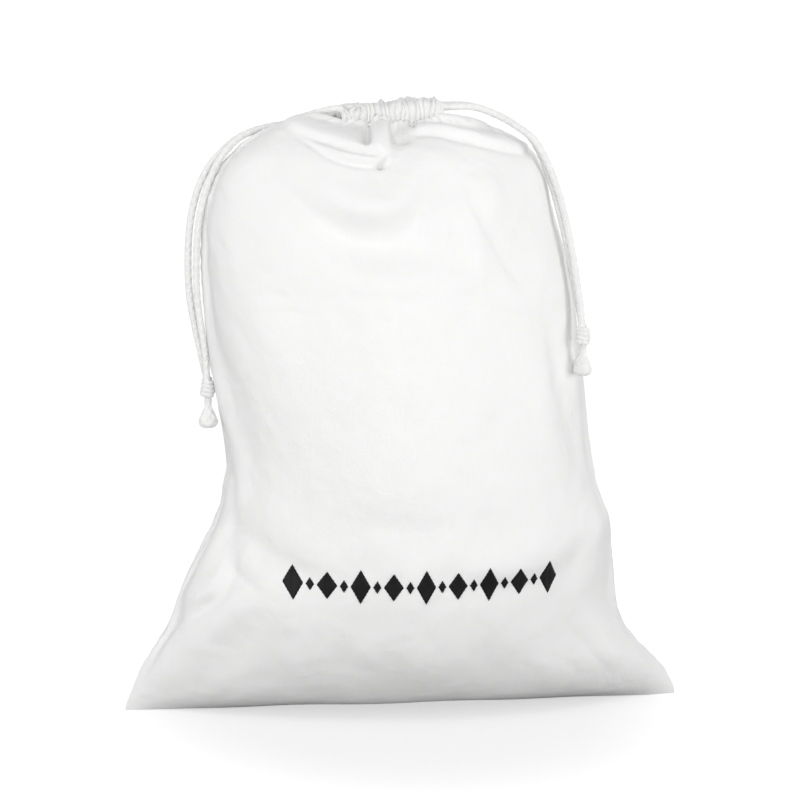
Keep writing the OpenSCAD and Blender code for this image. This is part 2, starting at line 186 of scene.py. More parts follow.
# ------------------------------------------------------------------ folds
# Each fold: kind, width (shoulder: steep side, soft side; pleat: half width, edge softness),
# then its line as (right, up, strength), all in mm.
# ridge: round, a valley if negative; crease: sharp valley; pleat: flat-topped;
# shoulder: steep to the right of its direction of travel, soft to the left.
# The front folds lie on the view plane, measured from the aim point.
FRONT_FOLDS = [
    # tongue pleat under the mouth and the deep wells beside it
    ("pleat", (5.705, 1.854), [
        (-14.26, 205.38, 1.5), (-14.26, 195.4, 4.6), (-14.26, 183.99, 5.6), (-13.55, 177.57, 5)]),
    ("crease", 2.425, [(-20.68, 202.53, 2), (-22.82, 193.97, 8), (-23.53, 183.27, 6)]),
    ("ridge", 2.425, [(-23.53, 192.54, -3), (-23.53, 183.27, -10)]),
    ("crease", 2.139, [(-7.84, 202.53, 2), (-5.705, 192.54, 5), (-5.705, 178.28, 0)]),
    ("crease", 2.995, [(-2.85, 193.26, 4), (0.71, 187.55, 13), (6.42, 184.7, 3)]),
    ("crease", 2.282, [(6.42, 202.53, 2), (9.27, 197.54, 10), (13.55, 194.68, 0)]),
    ("ridge", 2.425, [(-13.55, 166.87, -7), (-10.7, 169.72, -8)]),
    # swags left of the tongue, each overhanging the crease under it
    ("shoulder", (1.997, 9.271), [
        (-98.41, 196.82, 0), (-84.15, 196.11, 1), (-70.6, 191.83, 3), (-58.48, 186.84, 5),
        (-47.07, 182.92, 6), (-33.52, 178.99, 6.2), (-20.68, 177.21, 5.4), (-8.56, 176.86, 0)]),
    ("shoulder", (1.925, 4.992), [
        (-85.58, 193.26, 0), (-72.74, 188.98, 1.2), (-60.62, 182.56, 3.6),
        (-49.92, 175.43, 5.4), (-31.38, 170.44, 6), (-8.56, 169.72, 3)]),
    # the shoulder rises in front of the cord
    ("ridge", 5.705, [
        (-42.79, 205.38, 0), (-58.48, 201.81, 4.6), (-77.02, 196.82, 3.4), (-94.13, 188.27, 0)]),
    # swags right of the tongue
    ("shoulder", (1.997, 4.992), [
        (7.13, 203.95, 0), (21.39, 201.1, 3.2), (37.8, 198.25, 3.8), (64.18, 194.68, 3.2),
        (89.85, 191.12, 0)]),
    ("shoulder", (2.139, 5.705), [
        (-2.14, 191.12, 0), (19.25, 192.54, 3.4), (42.79, 188.98, 4.2), (64.18, 183.99, 3.8),
        (84.86, 179.71, 2.2), (94.13, 181.85, 0)]),
    # big hanging drape, the hollow beneath it and a low swell
    ("shoulder", (10.697, 19.254), [
        (-98.41, 185.41, 0), (-82.72, 171.15, 3.6), (-62.76, 152.61, 6.2), (-47.07, 141.2, 8),
        (-29.95, 134.07, 9.2), (-11.41, 133.35, 9.2), (-1.43, 138.35, 8.8), (4.28, 146.9, 8),
        (14.98, 160.45, 6.6), (29.24, 169.01, 4.8), (47.07, 176.86, 0)]),
    ("ridge", 13.549, [
        (-82.72, 149.76, 0), (-71.31, 134.07, -2), (-52.06, 118.38, -3.4),
        (-31.38, 108.4, -4.2), (-2.85, 105.54, -4.4), (22.82, 108.4, -4.4),
        (35.66, 126.94, -3.2), (39.94, 154.04, 0)]),
    ("ridge", 12.836, [(-71.31, 92.71, 0), (-35.66, 82.72, 1.8), (7.13, 81.3, 2), (28.53, 87, 0)]),
    # standing fold on the right, hollow on both sides, and the folds around it
    ("ridge", 7.844, [
        (42.79, 165.45, 0), (49.92, 136.92, 2.6), (55.62, 109.82, 2.6), (59.9, 78.44, 0)]),
    ("ridge", 9.271, [
        (35.66, 152.61, 0), (39.22, 126.94, -2.4), (39.94, 104.12, -3), (34.23, 91.28, 0)]),
    ("ridge", 4.564, [
        (44.93, 159.74, 0), (54.2, 136.92, -1.9), (65.61, 117.67, -2.3), (81.3, 91.28, -1.8),
        (94.13, 72.74, 0)]),
    ("ridge", 9.271, [(55.62, 165.45, 0), (65.61, 148.33, 4.2), (72.74, 129.79, 0)]),
    ("ridge", 7.844, [(25.67, 82.72, 0), (45.64, 84.86, 2.2), (67.03, 86.29, 0)]),
    ("ridge", 10.697, [(68.46, 116.95, 0), (89.85, 96.99, -2.8), (112.67, 77.02, 0)]),
    ("ridge", 5.705, [(91.28, 176.86, 0), (97.7, 154.04, 2.8), (105.54, 125.51, 0)]),
    # left shoulder
    ("ridge", 11.41, [(-122.66, 142.63, 0), (-106.97, 166.87, 2.6), (-87, 181.13, 0)]),
    # short creases across the middle
    ("crease", 2.496, [
        (-115.53, 71.31, 0), (-98.41, 75.59, 0.9), (-78.44, 73.45, 0.8), (-62.76, 77.02, 0)]),
    ("crease", 2.139, [
        (-106.97, 58.48, 0), (-82.72, 62.76, 0.8), (-64.18, 59.9, 0.8), (-44.21, 63.47, 0)]),
    ("ridge", 5.705, [
        (-71.31, 68.46, 0), (-35.66, 74.17, -0.9), (7.13, 69.89, -0.8), (35.66, 74.17, 0)]),
    ("crease", 2.853, [(-28.53, 58.48, 0), (0, 55.62, 0.7), (28.53, 60.62, 0)]),
    ("ridge", 7.131, [(21.39, 71.31, 0), (52.77, 78.44, 1), (85.58, 68.46, 1.1), (105.54, 62.76, 0)]),
    ("crease", 3.566, [(38.51, 55.62, 0), (65.61, 63.47, 1), (92.71, 55.62, 1.2), (111.25, 42.79, 0)]),
    # where the filling ends on the right, and the seam side of the belly
    ("ridge", 7.844, [
        (99.84, 67.03, 0), (111.25, 42.79, -3), (116.95, 5.71, -3.4), (124.08, -28.53, -2.6),
        (134.07, -61.33, 0)]),
    ("ridge", 11.41, [
        (85.58, 49.92, 0), (96.99, 21.39, 2.2), (105.54, -21.39, 2.4), (114.1, -64.18, 0)]),
    ("crease", 6.418, [(142.63, -49.92, 0), (131.22, -71.31, 1.4), (118.38, -98.41, 0)]),
    ("ridge", 6.418, [(145.48, -74.17, 0), (138.35, -102.69, 3.2), (128.36, -139.77, 0)]),
    # lower edge of the belly
    ("ridge", 11.41, [
        (-121.23, -74.17, 0), (-106.97, -94.13, -3.6), (-82.72, -114.1, -3.2),
        (-49.92, -128.36, 0)]),
    ("shoulder", (10.697, 21.394), [
        (-125.51, -54.2, 0), (-111.25, -81.3, 2), (-88.43, -101.26, 2.4), (-64.18, -112.67, 2),
        (-28.53, -118.38, 0)]),
    ("shoulder", (8.558, 18.541), [
        (21.39, -111.25, 0), (64.18, -121.23, 2.4), (108.4, -111.25, 2.8), (139.77, -82.72, 0)]),
    ("ridge", 9.984, [(-42.79, -96.99, 0), (-7.13, -89.85, -1.4), (28.53, -99.84, 0)]),
    # side lobe and folds running into the corners
    ("shoulder", (4.279, 14.263), [
        (-166.87, -164.02, 0), (-144.05, -144.05, 3.6), (-132.64, -134.07, 4.2),
        (-128.36, -118.38, 3.6), (-126.94, -99.84, 0)]),
    ("shoulder", (4.992, 15.689), [
        (-138.35, -145.48, 0), (-152.61, -161.17, 3.6), (-169.72, -185.41, 3.6),
        (-183.99, -212.51, 0)]),
    ("ridge", 9.984, [(-111.25, -135.49, 0), (-132.64, -164.02, 3.4), (-152.61, -196.82, 0)]),
    ("ridge", 9.271, [(-98.41, -149.76, 0), (-114.1, -174, -1.7), (-131.22, -202.53, 0)]),
    ("crease", 5.705, [(-131.22, -111.25, 0), (-114.1, -126.94, 3.6), (-98.41, -139.77, 0)]),
    ("shoulder", (4.992, 12.836), [
        (186.84, -205.38, 0), (170.44, -183.27, 2.6), (156.17, -165.45, 2.8),
        (145.48, -146.9, 0)]),
    ("ridge", 7.844, [(134.07, -146.9, 0), (146.9, -175.43, 3.4), (165.45, -196.82, 0)]),
    ("crease", 6.418, [(111.25, -154.04, 0), (135.49, -178.28, 1.4), (154.04, -201.1, 0)]),
    # undulations along the foot
    ("ridge", 11.41, [(-81.3, -171.15, 0), (-71.31, -191.12, 1.8), (-67.03, -208.23, 0)]),
    ("ridge", 10.697, [(-34.23, -168.3, 0), (-38.51, -188.27, -1.3), (-35.66, -206.81, 0)]),
    ("ridge", 10.697, [(8.56, -171.15, 0), (14.26, -191.12, 2.2), (12.84, -206.81, 0)]),
    ("ridge", 10.697, [(55.62, -168.3, 0), (61.33, -188.27, -1.2), (64.18, -206.81, 0)]),
    ("ridge", 9.984, [(96.99, -171.15, 0), (105.54, -191.12, 1.4), (111.25, -205.38, 0)]),
]

# The back folds are given in the bag's own x and z.
BACK_FOLDS = [
    # the back shoulder gives way under the left cord
    ("ridge", 10.83, [
        (-44.76, 416.59, 0), (-70.03, 418.76, -7.5), (-93.86, 415.15, -7.5),
        (-108.3, 406.49, 0)]),
    # short folds and drapes below the mouth
    ("ridge", 6.498, [(43.32, 422.37, 2), (46.21, 405.04, 4.5), (41.88, 390.6, 0)]),
    ("ridge", 7.22, [(-14.44, 422.37, 2), (-20.22, 400.71, 5), (-17.33, 381.94, 0)]),
    ("crease", 4.332, [(14.44, 420.93, 2), (15.88, 400.71, 4.5), (11.55, 384.83, 0)]),
    ("shoulder", (3.61, 12.996), [
        (-72.2, 405.04, 0), (-36.1, 390.6, 3.4), (2.89, 379.05, 4.4), (38.99, 384.83, 3.6),
        (72.2, 405.04, 0)]),
    ("ridge", 12.996, [
        (82.31, 383.38, 0), (43.32, 351.61, 4.4), (0, 342.95, 5), (-44.76, 358.83, 4),
        (-76.53, 384.83, 0)]),
    ("ridge", 14.44, [
        (79.42, 357.39, 0), (40.43, 327.07, -4), (0, 321.29, -4.6), (-50.54, 335.73, -4),
        (-80.86, 364.61, 0)]),
    ("crease", 5.776, [(72.2, 368.94, 0), (86.64, 340.06, 3), (95.3, 296.74, 0)]),
    ("crease", 5.776, [(-72.2, 376.16, 0), (-86.64, 340.06, 3), (-92.42, 296.74, 0)]),
    # low relief across the middle
    ("ridge", 7.22, [
        (93.86, 267.86, 0), (36.1, 276.53, -1.4), (-28.88, 267.86, 1), (-86.64, 273.64, 0)]),
    ("ridge", 11.552, [(108.3, 202.88, 0), (72.2, 188.44, 1.8), (43.32, 166.78, 0)]),
    ("ridge", 11.552, [(-115.52, 188.44, 0), (-86.64, 166.78, 1.8), (-50.54, 152.34, 0)]),
    # slack folds above the corners, and a hollow between them
    ("shoulder", (5.054, 14.44), [
        (183.39, 7.94, 0), (166.06, 44.04, 3.6), (144.4, 94.58, 3.4), (122.74, 130.68, 0)]),
    ("shoulder", (5.054, 14.44), [
        (-122.74, 130.68, 0), (-147.29, 94.58, 3.6), (-167.5, 44.04, 3.4), (-186.28, 7.94, 0)]),
    ("ridge", 10.108, [(115.52, 72.92, 0), (137.18, 36.82, 3), (151.62, 7.94, 0)]),
    ("ridge", 10.108, [(-115.52, 72.92, 0), (-138.62, 36.82, 3), (-153.06, 7.94, 0)]),
    ("ridge", 15.884, [(28.88, 101.8, 0), (-14.44, 80.14, -2.4), (-57.76, 94.58, 0)]),
]


def line_distance(x, y, line):
    """Distance to a line, positive right of its travel, and its strength at the nearest point."""
    nearest = np.full(x.shape, 1e9)
    sign = np.zeros(x.shape)
    strength = np.zeros(x.shape)
    for a, b in zip(line[:-1], line[1:]):
        dx, dy = b[:2] - a[:2]
        t = np.clip(((x - a[0]) * dx + (y - a[1]) * dy) / (dx * dx + dy * dy), 0, 1)
        off_x, off_y = x - (a[0] + t * dx), y - (a[1] + t * dy)
        distance = np.hypot(off_x, off_y)
        closer = distance < nearest
        nearest = np.where(closer, distance, nearest)
        sign = np.where(closer, np.sign(dy * off_x - dx * off_y), sign)
        strength = np.where(closer, a[2] * (1 - t) + b[2] * t, strength)
    return nearest * sign, strength


def fold_profile(kind, d, width):
    """Height across a fold of unit strength at signed distance d."""
    if kind == "ridge":
        return np.exp(-(d / width) ** 2)
    if kind == "crease":
        return -np.exp(-np.abs(d) / width)
    if kind == "pleat":
        half, edge = width
        return 0.5 * (1 + np.tanh((half - np.abs(d)) / edge))
    steep, soft = width
    rise = np.exp(-(d / np.where(d < 0, soft, steep)) ** 2)
    return rise - 0.55 * np.exp(-((d - 1.6 * steep) / (1.1 * steep)) ** 2)


def fold_relief(x, y, folds, reach):
    """Sum of the folds; each acts within `reach` widths of the box around its line."""
    relief = np.zeros(x.shape)
    for kind, width, points in folds:
        spans = len(points) - 1
        line = spline_at(np.array(points, float), np.linspace(0, spans, spans * 10 + 1))
        margin = reach * np.max(width)
        low, high = line.min(axis=0) - margin, line.max(axis=0) + margin
        inside = (x > low[0]) & (x < high[0]) & (y > low[1]) & (y < high[1])
        d, strength = line_distance(x[inside], y[inside], line)
        relief[inside] += strength * fold_profile(kind, d, width)
    return relief


# gathers: one law for the casing and the cloth it draws in
PLEATS = 21
LONG_PLEATS = (3, 7, 10, 13, 16, 20)
rng = np.random.default_rng(11)
jitter = rng.uniform(-0.36, 0.36, PLEATS + 1)
jitter[[0, -1]] = 0
PLEAT_EDGES = (np.arange(PLEATS + 1) + jitter) / PLEATS
PLEAT_STRENGTH = rng.uniform(0.7, 1.25, PLEATS + 2)
PLEAT_REACH = rng.uniform(8, 16, PLEATS + 2)
for k in LONG_PLEATS:
    PLEAT_REACH[k] = rng.uniform(22, 40)
rng.uniform(-1.0, 1.0, PLEATS + 2)  # drawn only to keep the sequence
PLEAT_TOP = rng.uniform(-1.7, 1.3, PLEATS + 2)


def gathers(across, side):
    """Height (0..1), strength, reach down the cloth and top offset of the gathers.

    across runs from -1 at the left end to 1 at the right; the back is mirrored."""
    u = np.clip((across + 1) / 2, 0, 1)
    if side == BACK:
        u = 1 - u
    k = np.clip(np.searchsorted(PLEAT_EDGES, u, side="right") - 1, 0, PLEATS - 1)
    f = (u - PLEAT_EDGES[k]) / (PLEAT_EDGES[k + 1] - PLEAT_EDGES[k])
    height = np.sin(math.pi * np.clip(f, 0, 1)) ** 0.62
    centres = np.arange(PLEATS) + 0.5
    return height, *(np.interp(u * PLEATS, centres, values[:PLEATS])
                     for values in (PLEAT_STRENGTH, PLEAT_REACH, PLEAT_TOP))


def soft_noise(x, y, seed, scale, octaves):
    """Sum of crossed waves with slowly bent phases: soft, irregular relief, about -1..1."""
    r = np.random.default_rng(seed)
    relief = 0
    total = 0
    for octave in range(octaves):
        k = 2 * math.pi / (scale / 1.9 ** octave)
        waves = 0
        for _ in range(5):
            turn = r.uniform(0, 2 * math.pi)
            phase = r.uniform(0, 6.28)
            bend_y, bend_x = r.uniform(0, 6.28), r.uniform(0, 6.28)
            bend = 1.3 * np.sin(0.37 * k * y + bend_y) + 1.3 * np.sin(0.31 * k * x + bend_x)
            waves = waves + np.sin(k * (x * math.cos(turn) + y * math.sin(turn)) + phase + bend)
        relief = relief + waves / 2.6 * 0.55 ** octave
        total += 0.55 ** octave
    return relief / total


# ------------------------------------------------------------------ cloth simulation
LAST_FRAME, CACHE_END = 22, 24
MOVE_LIMIT = 9.0   # the movement levels off towards this


def pin_weight(station, on_seam):
    if station >= LAST - 0.6 or station <= -0.2:
        return 1.0
    if station < 0.6:
        return 0.9
    return 0.75 if on_seam else 0.0


def grow_weight(station, column, columns):
    """How much the cloth may grow: most near the mouth, the foot and the side seams."""
    top = max(0.0, min(1.0, (station - 11) / 5))
    foot = max(0.0, min(1.0, (7 - station) / 4))
    edge = min(column, columns - 1 - column) / (columns - 1)
    return min(1.0, 0.25 + 0.75 * top + 0.6 * foot + 0.35 * math.exp(-(edge / 0.08) ** 2))


def add_cloth(ob):
    cloth = ob.modifiers.new("Cloth", "CLOTH")
    st = cloth.settings
    st.quality = 5
    st.mass = 0.18
    st.tension_stiffness = 25
    st.compression_stiffness = 12
    st.shear_stiffness = 6
    st.bending_stiffness = 0.35
    st.tension_damping = st.compression_damping = 12
    st.air_damping = 3
    st.use_pressure = True
    st.uniform_pressure_force = 1.4
    st.vertex_group_mass = "pin"
    st.pin_stiffness = 6
    st.vertex_group_shrink = "grow"
    st.shrink_min = 0.0
    st.shrink_max = -0.05   # negative: the cloth grows
    st.effector_weights.gravity = 0.25
    cloth.collision_settings.use_collision = False
    cloth.collision_settings.use_self_collision = False
    cloth.point_cache.frame_start, cloth.point_cache.frame_end = 1, CACHE_END


def neighbour_sum(field):
    q = np.pad(field, ((1, 1), (1, 1), (0, 0)), mode="edge")
    return q[:-2, 1:-1] + q[2:, 1:-1] + q[1:-1, :-2] + q[1:-1, 2:]


def keep_creases(moved):
    """Takes out the broad movement inside the panel and the ripple at grid scale."""
    rows, columns = moved.shape[:2]
    from_seam = np.minimum(np.arange(columns), columns - 1 - np.arange(columns))
    from_mouth = rows - 1 - np.arange(rows)
    inner = (np.clip(from_seam / 4, 0, 1)[None, :, None]
             * np.clip(from_mouth / 4, 0, 1)[:, None, None])
    broad = moved
    for _ in range(14):
        broad = (neighbour_sum(broad) + 2 * broad) / 6
    moved = moved - 0.85 * broad * inner
    for _ in range(3):
        soft = (neighbour_sum(moved) + 4 * moved) / 8
        moved = moved + (soft - moved) * inner
    return moved


def simulate(front, back, stations):
    """Bag under pressure from its filling: how far each grid point moves, front and back."""
    rows, columns = front.shape[:2]
    count = rows * columns
    points = np.concatenate([front.reshape(-1, 3), back.reshape(-1, 3)]) * MM
    index = np.arange(count).reshape(rows, columns)
    # the back shares the front's points along both side seams and the bottom seam
    welded = np.arange(2 * count)
    welded[(index + count)[:, [0, -1]]] = index[:, [0, -1]]
    welded[index[0] + count] = index[0]
    used, slot = np.unique(welded, return_inverse=True)
    f, b = slot.reshape(2, rows, columns).tolist()
    faces = []
    for r in range(rows - 1):
        for c in range(columns - 1):
            faces.append((f[r][c], f[r + 1][c], f[r + 1][c + 1], f[r][c + 1]))
            faces.append((b[r][c], b[r][c + 1], b[r + 1][c + 1], b[r + 1][c]))
    mesh = bpy.data.meshes.new("sim")
    mesh.from_pydata([tuple(points[i]) for i in used], [], faces)
    ob = bpy.data.objects.new("sim", mesh)
    COLLECTION.objects.link(ob)
    pin = ob.vertex_groups.new(name="pin")
    grow = ob.vertex_groups.new(name="grow")
    for vertex, i in enumerate(used.tolist()):
        r, c = divmod(i % count, columns)
        weight = pin_weight(stations[r], c in (0, columns - 1))
        if weight:
            pin.add([vertex], weight, "REPLACE")
        grow.add([vertex], grow_weight(stations[r], c, columns), "REPLACE")
    add_cloth(ob)
    scene = bpy.context.scene
    scene.frame_start, scene.frame_end = 1, CACHE_END
    for k in range(1, LAST_FRAME + 1):
        scene.frame_set(k)
    settled = ob.evaluated_get(bpy.context.evaluated_depsgraph_get()).data.vertices
    after = np.empty(len(settled) * 3)
    settled.foreach_get("co", after)
    after = after.reshape(-1, 3) / MM
    scene.frame_set(1)
    bpy.data.objects.remove(ob, do_unlink=True)
    moved = after[slot.reshape(-1)] - points[welded] / MM
    length = np.linalg.norm(moved, axis=1, keepdims=True)
    limited = MOVE_LIMIT * np.tanh(length / MOVE_LIMIT) / np.maximum(length, 1e-9)
    moved *= np.where(length > 1e-9, limited, 1)
    moved = np.nan_to_num(moved)   # a point without a valid place does not move
    return [keep_creases(m) for m in moved.reshape(2, rows, columns, 3)]


def settle():
    """Runs the simulation on a coarse bag closed by its bottom seam."""
    stations = station_rows(7.0, 5.0)
    angles = np.linspace(0, math.pi, 64)
    seam = np.stack([FOOT_HALF * np.cos(angles), 0 * angles, 0 * angles], -1)[None]
    front, back = (np.concatenate([seam, skin(stations, angles, side)]) for side in (FRONT, BACK))
    stations = np.concatenate([[-1.0], stations])
    front_move, back_move = simulate(front, back, stations)
    return {"stations": stations, "angles": angles, FRONT: front_move, BACK: back_move}


def settled_move(side, stations, angles):
    """Simulated movement, resampled on a panel's own grid."""
    field = settled[side]
    rows, columns = field.shape[:2]
    row_at = np.interp(stations, settled["stations"], np.arange(rows))
    column_at = np.interp(angles, settled["angles"], np.arange(columns))
    tall = spline_at(field.reshape(rows, -1), row_at).reshape(len(row_at), columns, 3)
    wide = spline_at(tall.transpose(1, 0, 2).reshape(columns, -1), column_at)
    return wide.reshape(len(column_at), len(row_at), 3).transpose(1, 0, 2)


settled = settle()


# ------------------------------------------------------------------ mesh helpers
def cloth_object(name, grid, uv, flip, thickness):
    """Sheet of cloth from a grid, with UVs in metres, thickened inwards."""
    rows, columns = grid.shape[:2]
    mesh = bpy.data.meshes.new(name)
    index = np.arange(rows * columns).reshape(rows, columns)
    quads = grid_quads(index)
    if flip:
        quads = quads[:, ::-1]
    corners = quads.reshape(-1)
    mesh.vertices.add(rows * columns)
    mesh.vertices.foreach_set("co", (grid.reshape(-1) * MM).astype(np.float32))
    mesh.loops.add(quads.size)
    mesh.loops.foreach_set("vertex_index", corners.astype(np.int32))
    mesh.polygons.add(len(quads))
    mesh.polygons.foreach_set("loop_start", np.arange(0, quads.size, 4, dtype=np.int32))
    mesh.polygons.foreach_set("loop_total", np.full(len(quads), 4, dtype=np.int32))
    mesh.update(calc_edges=True)
    layer = mesh.uv_layers.new(name="flat")
    layer.data.foreach_set("uv", uv.reshape(-1, 2)[corners].astype(np.float32).reshape(-1))
    mesh.polygons.foreach_set("use_smooth", np.full(len(quads), True))
    mesh.validate()
    ob = bpy.data.objects.new(name, mesh)
    COLLECTION.objects.link(ob)
    solidify = ob.modifiers.new("thickness", "SOLIDIFY")
    solidify.thickness = thickness * MM
    solidify.offset = -1
    graph = bpy.context.evaluated_depsgraph_get()
    baked = bpy.data.meshes.new_from_object(ob.evaluated_get(graph), depsgraph=graph)
    baked.name = name
    ob.modifiers.clear()
    ob.data = baked
    for polygon in baked.polygons:
        polygon.use_smooth = True
    return ob


def solid_object(name, points, faces):
    """Smooth-shaded closed mesh with its normals facing out."""
    mesh = bpy.data.meshes.new(name)
    mesh.from_pydata([tuple(v) for v in points * MM], [],
                     [tuple(int(i) for i in face) for face in faces])
    mesh.update()
    mesh.validate()
    for polygon in mesh.polygons:
        polygon.use_smooth = True
    ob = bpy.data.objects.new(name, mesh)
    COLLECTION.objects.link(ob)
    bm = bmesh.new()
    bm.from_mesh(mesh)
    bmesh.ops.recalc_face_normals(bm, faces=bm.faces)
    bm.to_mesh(mesh)
    bm.free()
    return ob


def merged_object(name, parts):
    """One object from (points, faces) parts."""
    points, faces, start = [], [], 0
    for part_points, part_faces in parts:
        points.append(part_points)
        faces += [tuple(i + start for i in face) for face in part_faces]
        start += len(part_points)
    return solid_object(name, np.concatenate(points), faces)


def grid_quads(index):
    corners = [index[:-1, :-1], index[:-1, 1:], index[1:, 1:], index[1:, :-1]]
    return np.stack(corners, -1).reshape(-1, 4)


def rings_object(name, rings):
    """Closed solid through rings of points, capped at both ends."""
    count, sides = rings.shape[:2]
    index = np.arange(count * sides).reshape(count, sides)
    quads = grid_quads(np.concatenate([index, index[:, :1]], axis=1))
    return solid_object(name, rings.reshape(-1, 3), [*quads, index[0][::-1], index[-1]])


# ------------------------------------------------------------------ panels
def build_panel(name, side, columns, low_spacing, top_spacing, seeds, flip):
    base, stations, angles = panel_grid(side, columns, low_spacing, top_spacing)
    grid = base
    if settled is not None:
        calm = smoothstep(np.clip((stations - 0.6) / 5.4, 0, 1))[:, None, None]
        grid = grid + calm * settled_move(side, stations, angles)
    normal = outward_normals(grid)
    x, y, z = base[..., 0], base[..., 1], base[..., 2]
    across = np.cos(angles)[None, :] * np.ones(x.shape)
    # lengths along the cloth: up from the bottom seam, down from the mouth, across
    up = arc_length(base)
    below = up[-1] - up
    arc = arc_length(base, axis=1)
    edge = np.minimum(arc, arc[:, -1:] - arc)

    height, strength, reach, _ = gathers(across, side)
    fade_down = np.exp(-(below / reach) ** 1.25)
    ends = np.clip((1 - np.abs(across)) / 0.06, 0, 1)
    lift = 2.6 * strength * (height - 0.62) * fade_down * ends
    # cloth relief between the folds
    free = np.clip(edge / 14, 0, 1) * np.clip(below / 10, 0, 1) * np.clip((z - 2) / 14, 0, 1)
    lift = lift + 1.1 * soft_noise(arc, below, seeds[0], 120, 4) * free
    lift = lift + 0.26 * soft_noise(arc + 40, below, seeds[1], 26, 3) * free
    if side == FRONT:
        folds = fold_relief(*on_view_plane(grid), FRONT_FOLDS, reach=4)
        fold_z = grid[..., 2] * 0 + z
    else:
        folds = fold_relief(x, z, BACK_FOLDS, reach=math.inf)
        fold_z = z
    fade = np.clip(edge / 9, 0, 1) * np.clip(below / 3, 0, 1) * np.clip((fold_z - 1) / 10, 0, 1)
    grid = grid + normal * (lift + folds * fade)[..., None]

    # the cloth dips into the side seam and puckers along it
    dip = np.exp(-((np.abs(y) - SEAM_Y) / 2.6) ** 2)
    pucker = 0.7 + 0.3 * np.sin(below / 2.1 + 1.7 * np.sin(below / 9.0))
    grid[..., 0] -= (np.sign(x) * 1.3 * dip * pucker * np.clip(z / 8, 0, 1)
                     * np.clip((200 - np.abs(x)) / 12, 0, 1))
    # the seam lines stay on the seam plane and nothing goes below the floor
    for c in (0, -1):
        grid[:, c, 1] = side * SEAM_Y
    grid[0, :, 1] = side * SEAM_Y
    grid[..., 1] = side * np.maximum(SEAM_Y, side * grid[..., 1])
    # the foot arches up between the corners
    arch = np.clip(1 - ((x + 6) / 186) ** 2, 0, 1) * np.exp(-np.maximum(0, z) / 16)
    grid[..., 2] = np.maximum(0.05, grid[..., 2]) + (3.4 + 0.5 * np.sin(x / 17)) * arch
    middle = columns // 2
    uv = np.stack([arc - arc[:, middle:middle + 1], up], -1) * MM
    return cloth_object(name, grid, uv, flip, thickness=0.55)


front_cloth = build_panel("front_panel_cloth", FRONT, columns=232, low_spacing=2.2,
                          top_spacing=1.0, seeds=(5, 15), flip=True)
back_cloth = build_panel("back_panel_cloth", BACK, columns=190, low_spacing=2.8,
                         top_spacing=1.3, seeds=(6, 16), flip=False)

# ------------------------------------------------------------------ casings
CASING_X, CASING_HALF = -10.0, 36.0
CASING_COLUMNS, CASING_ROWS = 460, 74
# cross-section, from the outer foot over the top to the inner edge: depth, height over MOUTH_Z
CASING_PROFILE = np.array([
    (20.2, -2.6), (20.2, -0.6), (20.4, 1.6), (20.6, 4.2), (20.3, 7.0), (19.0, 10.2), (16.2, 12.9),
    (12.4, 13.9), (8.8, 12.8), (6.0, 10.2), (4.6, 7.0), (4.2, 3.6), (4.4, 0.6)], float)
CASING_SQUASH = 0.76   # of the profile's heights


def casing_grid(side, seed):
    at = np.linspace(0, len(CASING_PROFILE) - 1, CASING_ROWS)
    profile = spline_at(CASING_PROFILE, at) * np.array([1.0, CASING_SQUASH])
    tangent = np.gradient(profile, axis=0)
    normal = np.stack([tangent[:, 1], -tangent[:, 0]], -1)
    normal /= np.linalg.norm(normal, axis=1, keepdims=True)
    ends_x = np.linspace(1, -1, CASING_COLUMNS)
    across = ends_x[None, :]
    up = np.clip(at / 6.5, 0, 1)[:, None]
    # the pleats sway sideways as they rise
    sway = (0.026 * np.sin(up * math.pi * 1.3 + 9 * across) * up
            + 0.022 * np.sin(17 * across + 4 * up) * up ** 2)
    height, strength, _, _ = gathers(np.clip(across + sway, -1, 1), side)
    top = gathers(ends_x, side)[3][None, :]
    ends = np.clip((1 - np.abs(across)) / 0.05, 0, 1)
    swell = 0.85 + 0.35 * np.sin(np.pi * np.clip(at / 12, 0, 1))[:, None]
    lift = 2.2 * strength * (height - 0.66) * swell * (0.35 + 0.65 * ends)
    x_flat, arc_flat = CASING_HALF * across + 0 * up, at[:, None] * 2.6 + 0 * across
    lift = lift + 0.45 * soft_noise(x_flat, arc_flat, seed, 13, 3) * up
    y = profile[:, 0:1] + normal[:, 0:1] * lift
    z = profile[:, 1:2] + normal[:, 1:2] * lift
    lifted = np.clip((at - 1.2) / 4, 0, 1)[:, None]
    z = z + lifted * (top * 0.8 + 2.6 * across + 0.7 * np.sin(3.3 * across + 0.4))
    # ends close in a little towards the cords, and the top slopes down to them
    nip = np.clip((np.abs(across) - 0.88) / 0.12, 0, 1) ** 2
    y = y + nip * lifted * (13.6 - y) * 0.70
    slope = (np.clip((-across - 0.72) / 0.28, 0, 1) ** 1.6 * 0.42
             + np.clip((across - 0.88) / 0.12, 0, 1) ** 2 * 0.10)
    z = z * (1 - slope * lifted)
    x = CASING_X + CASING_HALF * across + 0.35 * np.sin(6 * up + 23 * across) * up
    grid = np.stack([x, side * y, MOUTH_Z + z], -1)
    flat = np.ones_like(y)
    uv = np.stack([across * 200 * flat, arc_length(profile)[:, None] * flat], -1) * MM
    return grid, uv


front_grid, front_uv = casing_grid(FRONT, seed=31)
back_grid, back_uv = casing_grid(BACK, seed=32)
front_casing = cloth_object("front_casing_cloth", front_grid, front_uv, flip=False, thickness=0.5)
back_casing = cloth_object("back_casing_cloth", back_grid, back_uv, flip=True, thickness=0.5)

# ------------------------------------------------------------------ sewing threads
STITCH_ROW = 9                                     # casing row that carries the stitches
STITCH_PITCH, STITCH_LENGTH, STITCH_R = 3.1, 2.3, 0.3


